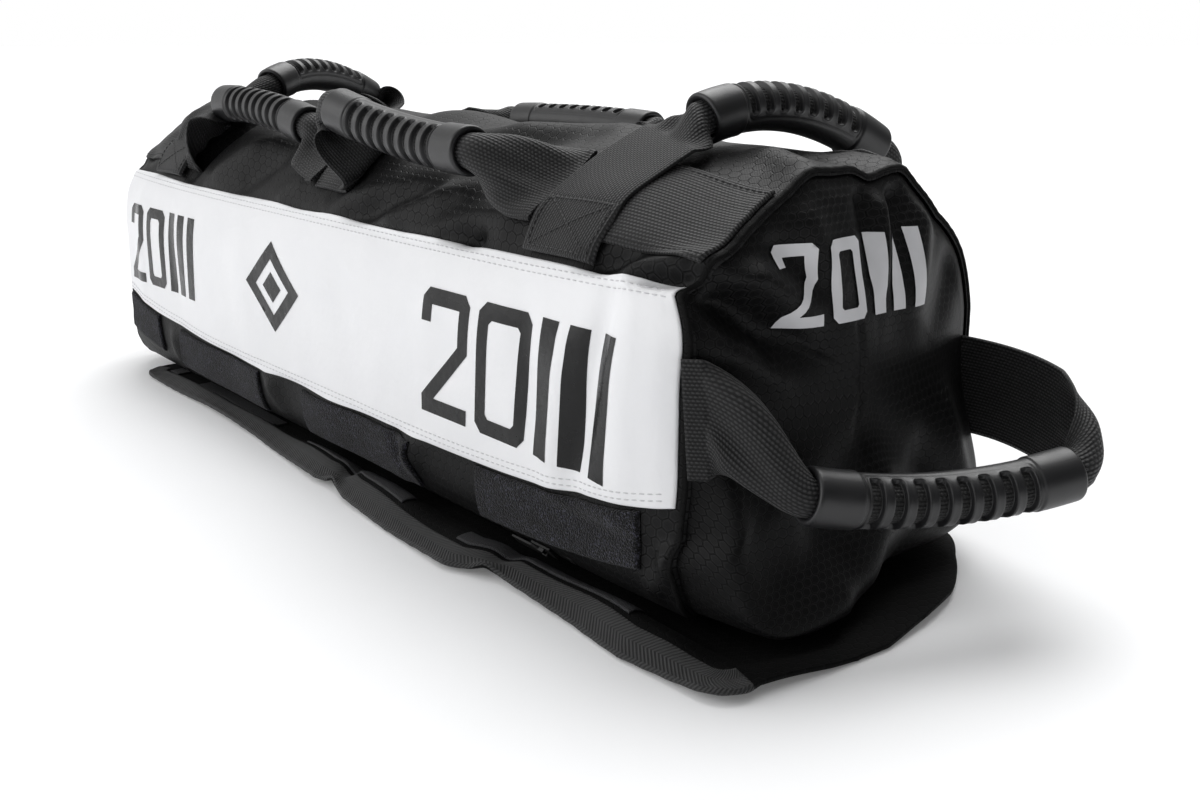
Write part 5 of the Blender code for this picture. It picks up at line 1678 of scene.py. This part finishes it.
# %% Binding and hook strips
def flap_edge(count):
    """Points along the flap's front line with its corners, and ways inward."""
    corner = np.linspace(0, np.pi / 2, 22)[:-4]
    back = corner[::-1]
    radius, start, end = FLAP_CORNER, FLAP_FAR + FLAP_CORNER, FLAP_NEAR - FLAP_CORNER
    far = np.stack([start - radius * np.sin(back), FLAP_FRONT + radius - radius * np.cos(back)], -1)
    near = np.stack([end + radius * np.sin(corner), FLAP_FRONT + radius - radius * np.cos(corner)], -1)
    straight = grid_of(np.linspace(start, end, count)[1:-1], FLAP_FRONT)
    inward = [np.stack([np.sin(back), np.cos(back)], -1), np.tile([0.0, 1.0], (len(straight), 1)),
              np.stack([-np.sin(corner), np.cos(corner)], -1)]
    return np.concatenate([far, straight, near]), np.concatenate(inward)


def flap_binding():
    """Herringbone tape wrapped over the flap's front edge."""
    edge, inward = flap_edge(260)
    edge = edge + np.stack([0 * edge[:, 0], edge_line(edge[:, 0]) - FLAP_FRONT], -1)
    width, gap = 0.0125, 0.0004
    flat = np.linspace(width, 0.0008, 12)
    turn = np.linspace(0, np.pi, 9)[1:-1]
    half = FLAP_SHEET / 2 + gap
    reach = np.concatenate([flat, 0.0006 - half * 0.7 * np.sin(turn), flat[::-1]])
    height = np.concatenate([np.full(12, half), half * np.cos(turn), np.full(12, -half)])
    spot = edge[:, None, :] + inward[:, None, :] * reach[None, :, None]
    z = flap_middle(spot[..., 0], spot[..., 1]) + height[None, :]
    run = run_along(edge)
    pucker = 0.00015 * np.sin(run / 0.0021)[:, None] * np.exp(-((reach / 0.006) ** 2))[None, :]
    z = np.maximum(z + pucker * np.sign(height)[None, :], 0.0002)
    points = np.stack([bowed(spot[..., 0], spot[..., 1]), spot[..., 1], z], -1)
    across = np.concatenate([[0], np.cumsum(np.hypot(np.diff(reach), np.diff(height)))])
    uv = grid_of(run[:, None], across)
    core = np.stack([points[..., 0], spot[..., 1], flap_middle(spot[..., 0], spot[..., 1])], -1)
    made = make_mesh("flap_binding_tape", points, uv, inside=core, finishes=[BINDING])
    thicken(made, 0.0004)
    place(made, "flap_fold", "binding_tape", "flap_binding")
    print("binding tape", round(float(run[-1]), 3), "m long")
    return made


def hook_strips():
    """Strips of hook tape behind the binding."""
    for number, (start, end) in enumerate(PILE_SPANS):
        start = max(start, FLAP_FAR + FLAP_CORNER)
        x, sunk_x = edge_steps(start, end, 60, 0.0008)
        y, sunk_y = edge_steps(0.0150, 0.0250, 14, 0.0008)
        place_x, place_y = np.broadcast_arrays(x[:, None], edge_line(x)[:, None] + y[None, :])
        sunk = np.maximum(sunk_x[:, None], sunk_y[None, :])
        z = flap_middle(place_x, place_y) + FLAP_SHEET / 2 + 0.0003 + 0.0011 * (1 - sunk)
        points = np.stack([place_x, place_y, z], -1)
        uv = np.stack([place_x, place_y], -1)
        made = make_mesh(f"hook_tape_{number + 1}", points, uv, inside=points - [0, 0, 1.0], finishes=[HOOK])
        place(thicken(made, 0.0009), "flap_fold", "hook_tape", f"hook_strip_{number + 1}")


def make_hook():
    """Hook tape: rows of tiny dark hooks, the raised hooks painted lighter as highlights and the ground
    between them darker as shade.
    """
    made, tree, shader = new_finish("hook_tape", (0.010, 0.010, 0.012), 0.5)
    where = cloth_uv(tree)
    dots = add_node(tree, "ShaderNodeTexVoronoi", {"Vector": where, "Scale": 1150.0, "Randomness": 0.25})
    # The raised hooks get a painted highlight, and the ground between them painted shade.
    knob = between(tree, dots.outputs["Distance"], 0.75, 0.15)
    tree.links.new(blend_colour(tree, knob, (0.004, 0.004, 0.005), (0.030, 0.030, 0.034)),
                   shader.inputs["Base Color"])
    put_bump(tree, shader, knob, 0.0006)
    return made


HOOK = make_hook()
flap_binding()
hook_strips()

# %% [markdown]
# ## Zip and fillers
#
# The zip's tape lies behind the slot in the tube. Its chain, stops, slider and
# pull keep their CAD shapes and get a finish: black plastic, darkened further
# with painted shade, for they sit in the shadow under the bag's front. The
# fillers are inside, soft canvas bags of sand laid end to end: crowned forms
# with pinched ends.

# %% Zip and fillers
ZIP_DEPTH, ZIP_TAPE_HALF, ZIP_TAPE_REACH = 0.0029, 0.0130, 0.2430


def zip_tape():
    """Tape behind the zip's slot."""
    x = edge_steps(-ZIP_TAPE_REACH, ZIP_TAPE_REACH, 160, 0.001)[0]
    length = girth_at(ZIP_ANGLE) + np.linspace(-ZIP_TAPE_HALF, ZIP_TAPE_HALF, 24)
    y, z, normal_y, normal_z = section(angle_at(length))
    points = grid_of(x[:, None], y - normal_y * ZIP_DEPTH, z - normal_z * ZIP_DEPTH + MIDDLE_Z)
    uv, axis = grid_of(x[:, None], length), axis_points(x, len(length))
    made = make_mesh("zip_cloth_tape", points, uv, inside=axis, finishes=[BINDING])
    place(thicken(made, 0.0005), "bag", "binding_tape", "zip_tape")
    return made


def filler_bags():
    """Four soft bags, rounded at both ends, inside the tube."""
    span, radius, middle_z = (2 * HALF_LENGTH - 0.0006) / 4, 0.0958, 0.0985
    turn = np.radians(np.linspace(-180, 180, 96, endpoint=False))
    share = (1 - np.cos(np.linspace(0, np.pi, 44)))[:, None] / 2
    from_middle = np.abs(2 * share - 1)
    reach = radius * np.clip(1 - from_middle**5, 0, 1) ** 0.5
    size = reach * (1 + 0.018 * np.sin(turn * 9) * from_middle**3)
    for number in range(4):
        start = -HALF_LENGTH + 0.0006 + number * span
        x = start + 0.0004 + share * (span - 0.0014)
        points = grid_of(x, -np.cos(turn) * size, middle_z + np.sin(turn) * size * 0.965)
        uv = grid_of(x, np.append(turn, np.pi) * 0.095)
        axis = grid_of(start + span / 2 + 0 * x, 0 * turn, middle_z)
        made = make_mesh(f"sand_bag_{number + 1}", points, uv, wrap=True, inside=axis, finishes=[CANVAS])
        place(made, "bag", "filler_canvas", f"filler_bag_{number + 1}")


zip_tape()
filler_bags()
# Zip parts take the black plastic with painted shade.
for node in ("zip_chain", "zip_stop_near", "zip_stop_far", "zip_slider", "zip_pull"):
    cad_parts[node].data.materials.clear()
    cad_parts[node].data.materials.append(ZIP_PLASTIC_SHADED)
print("zip tape", round(2 * ZIP_TAPE_REACH, 3), "m long, and four filler bags")
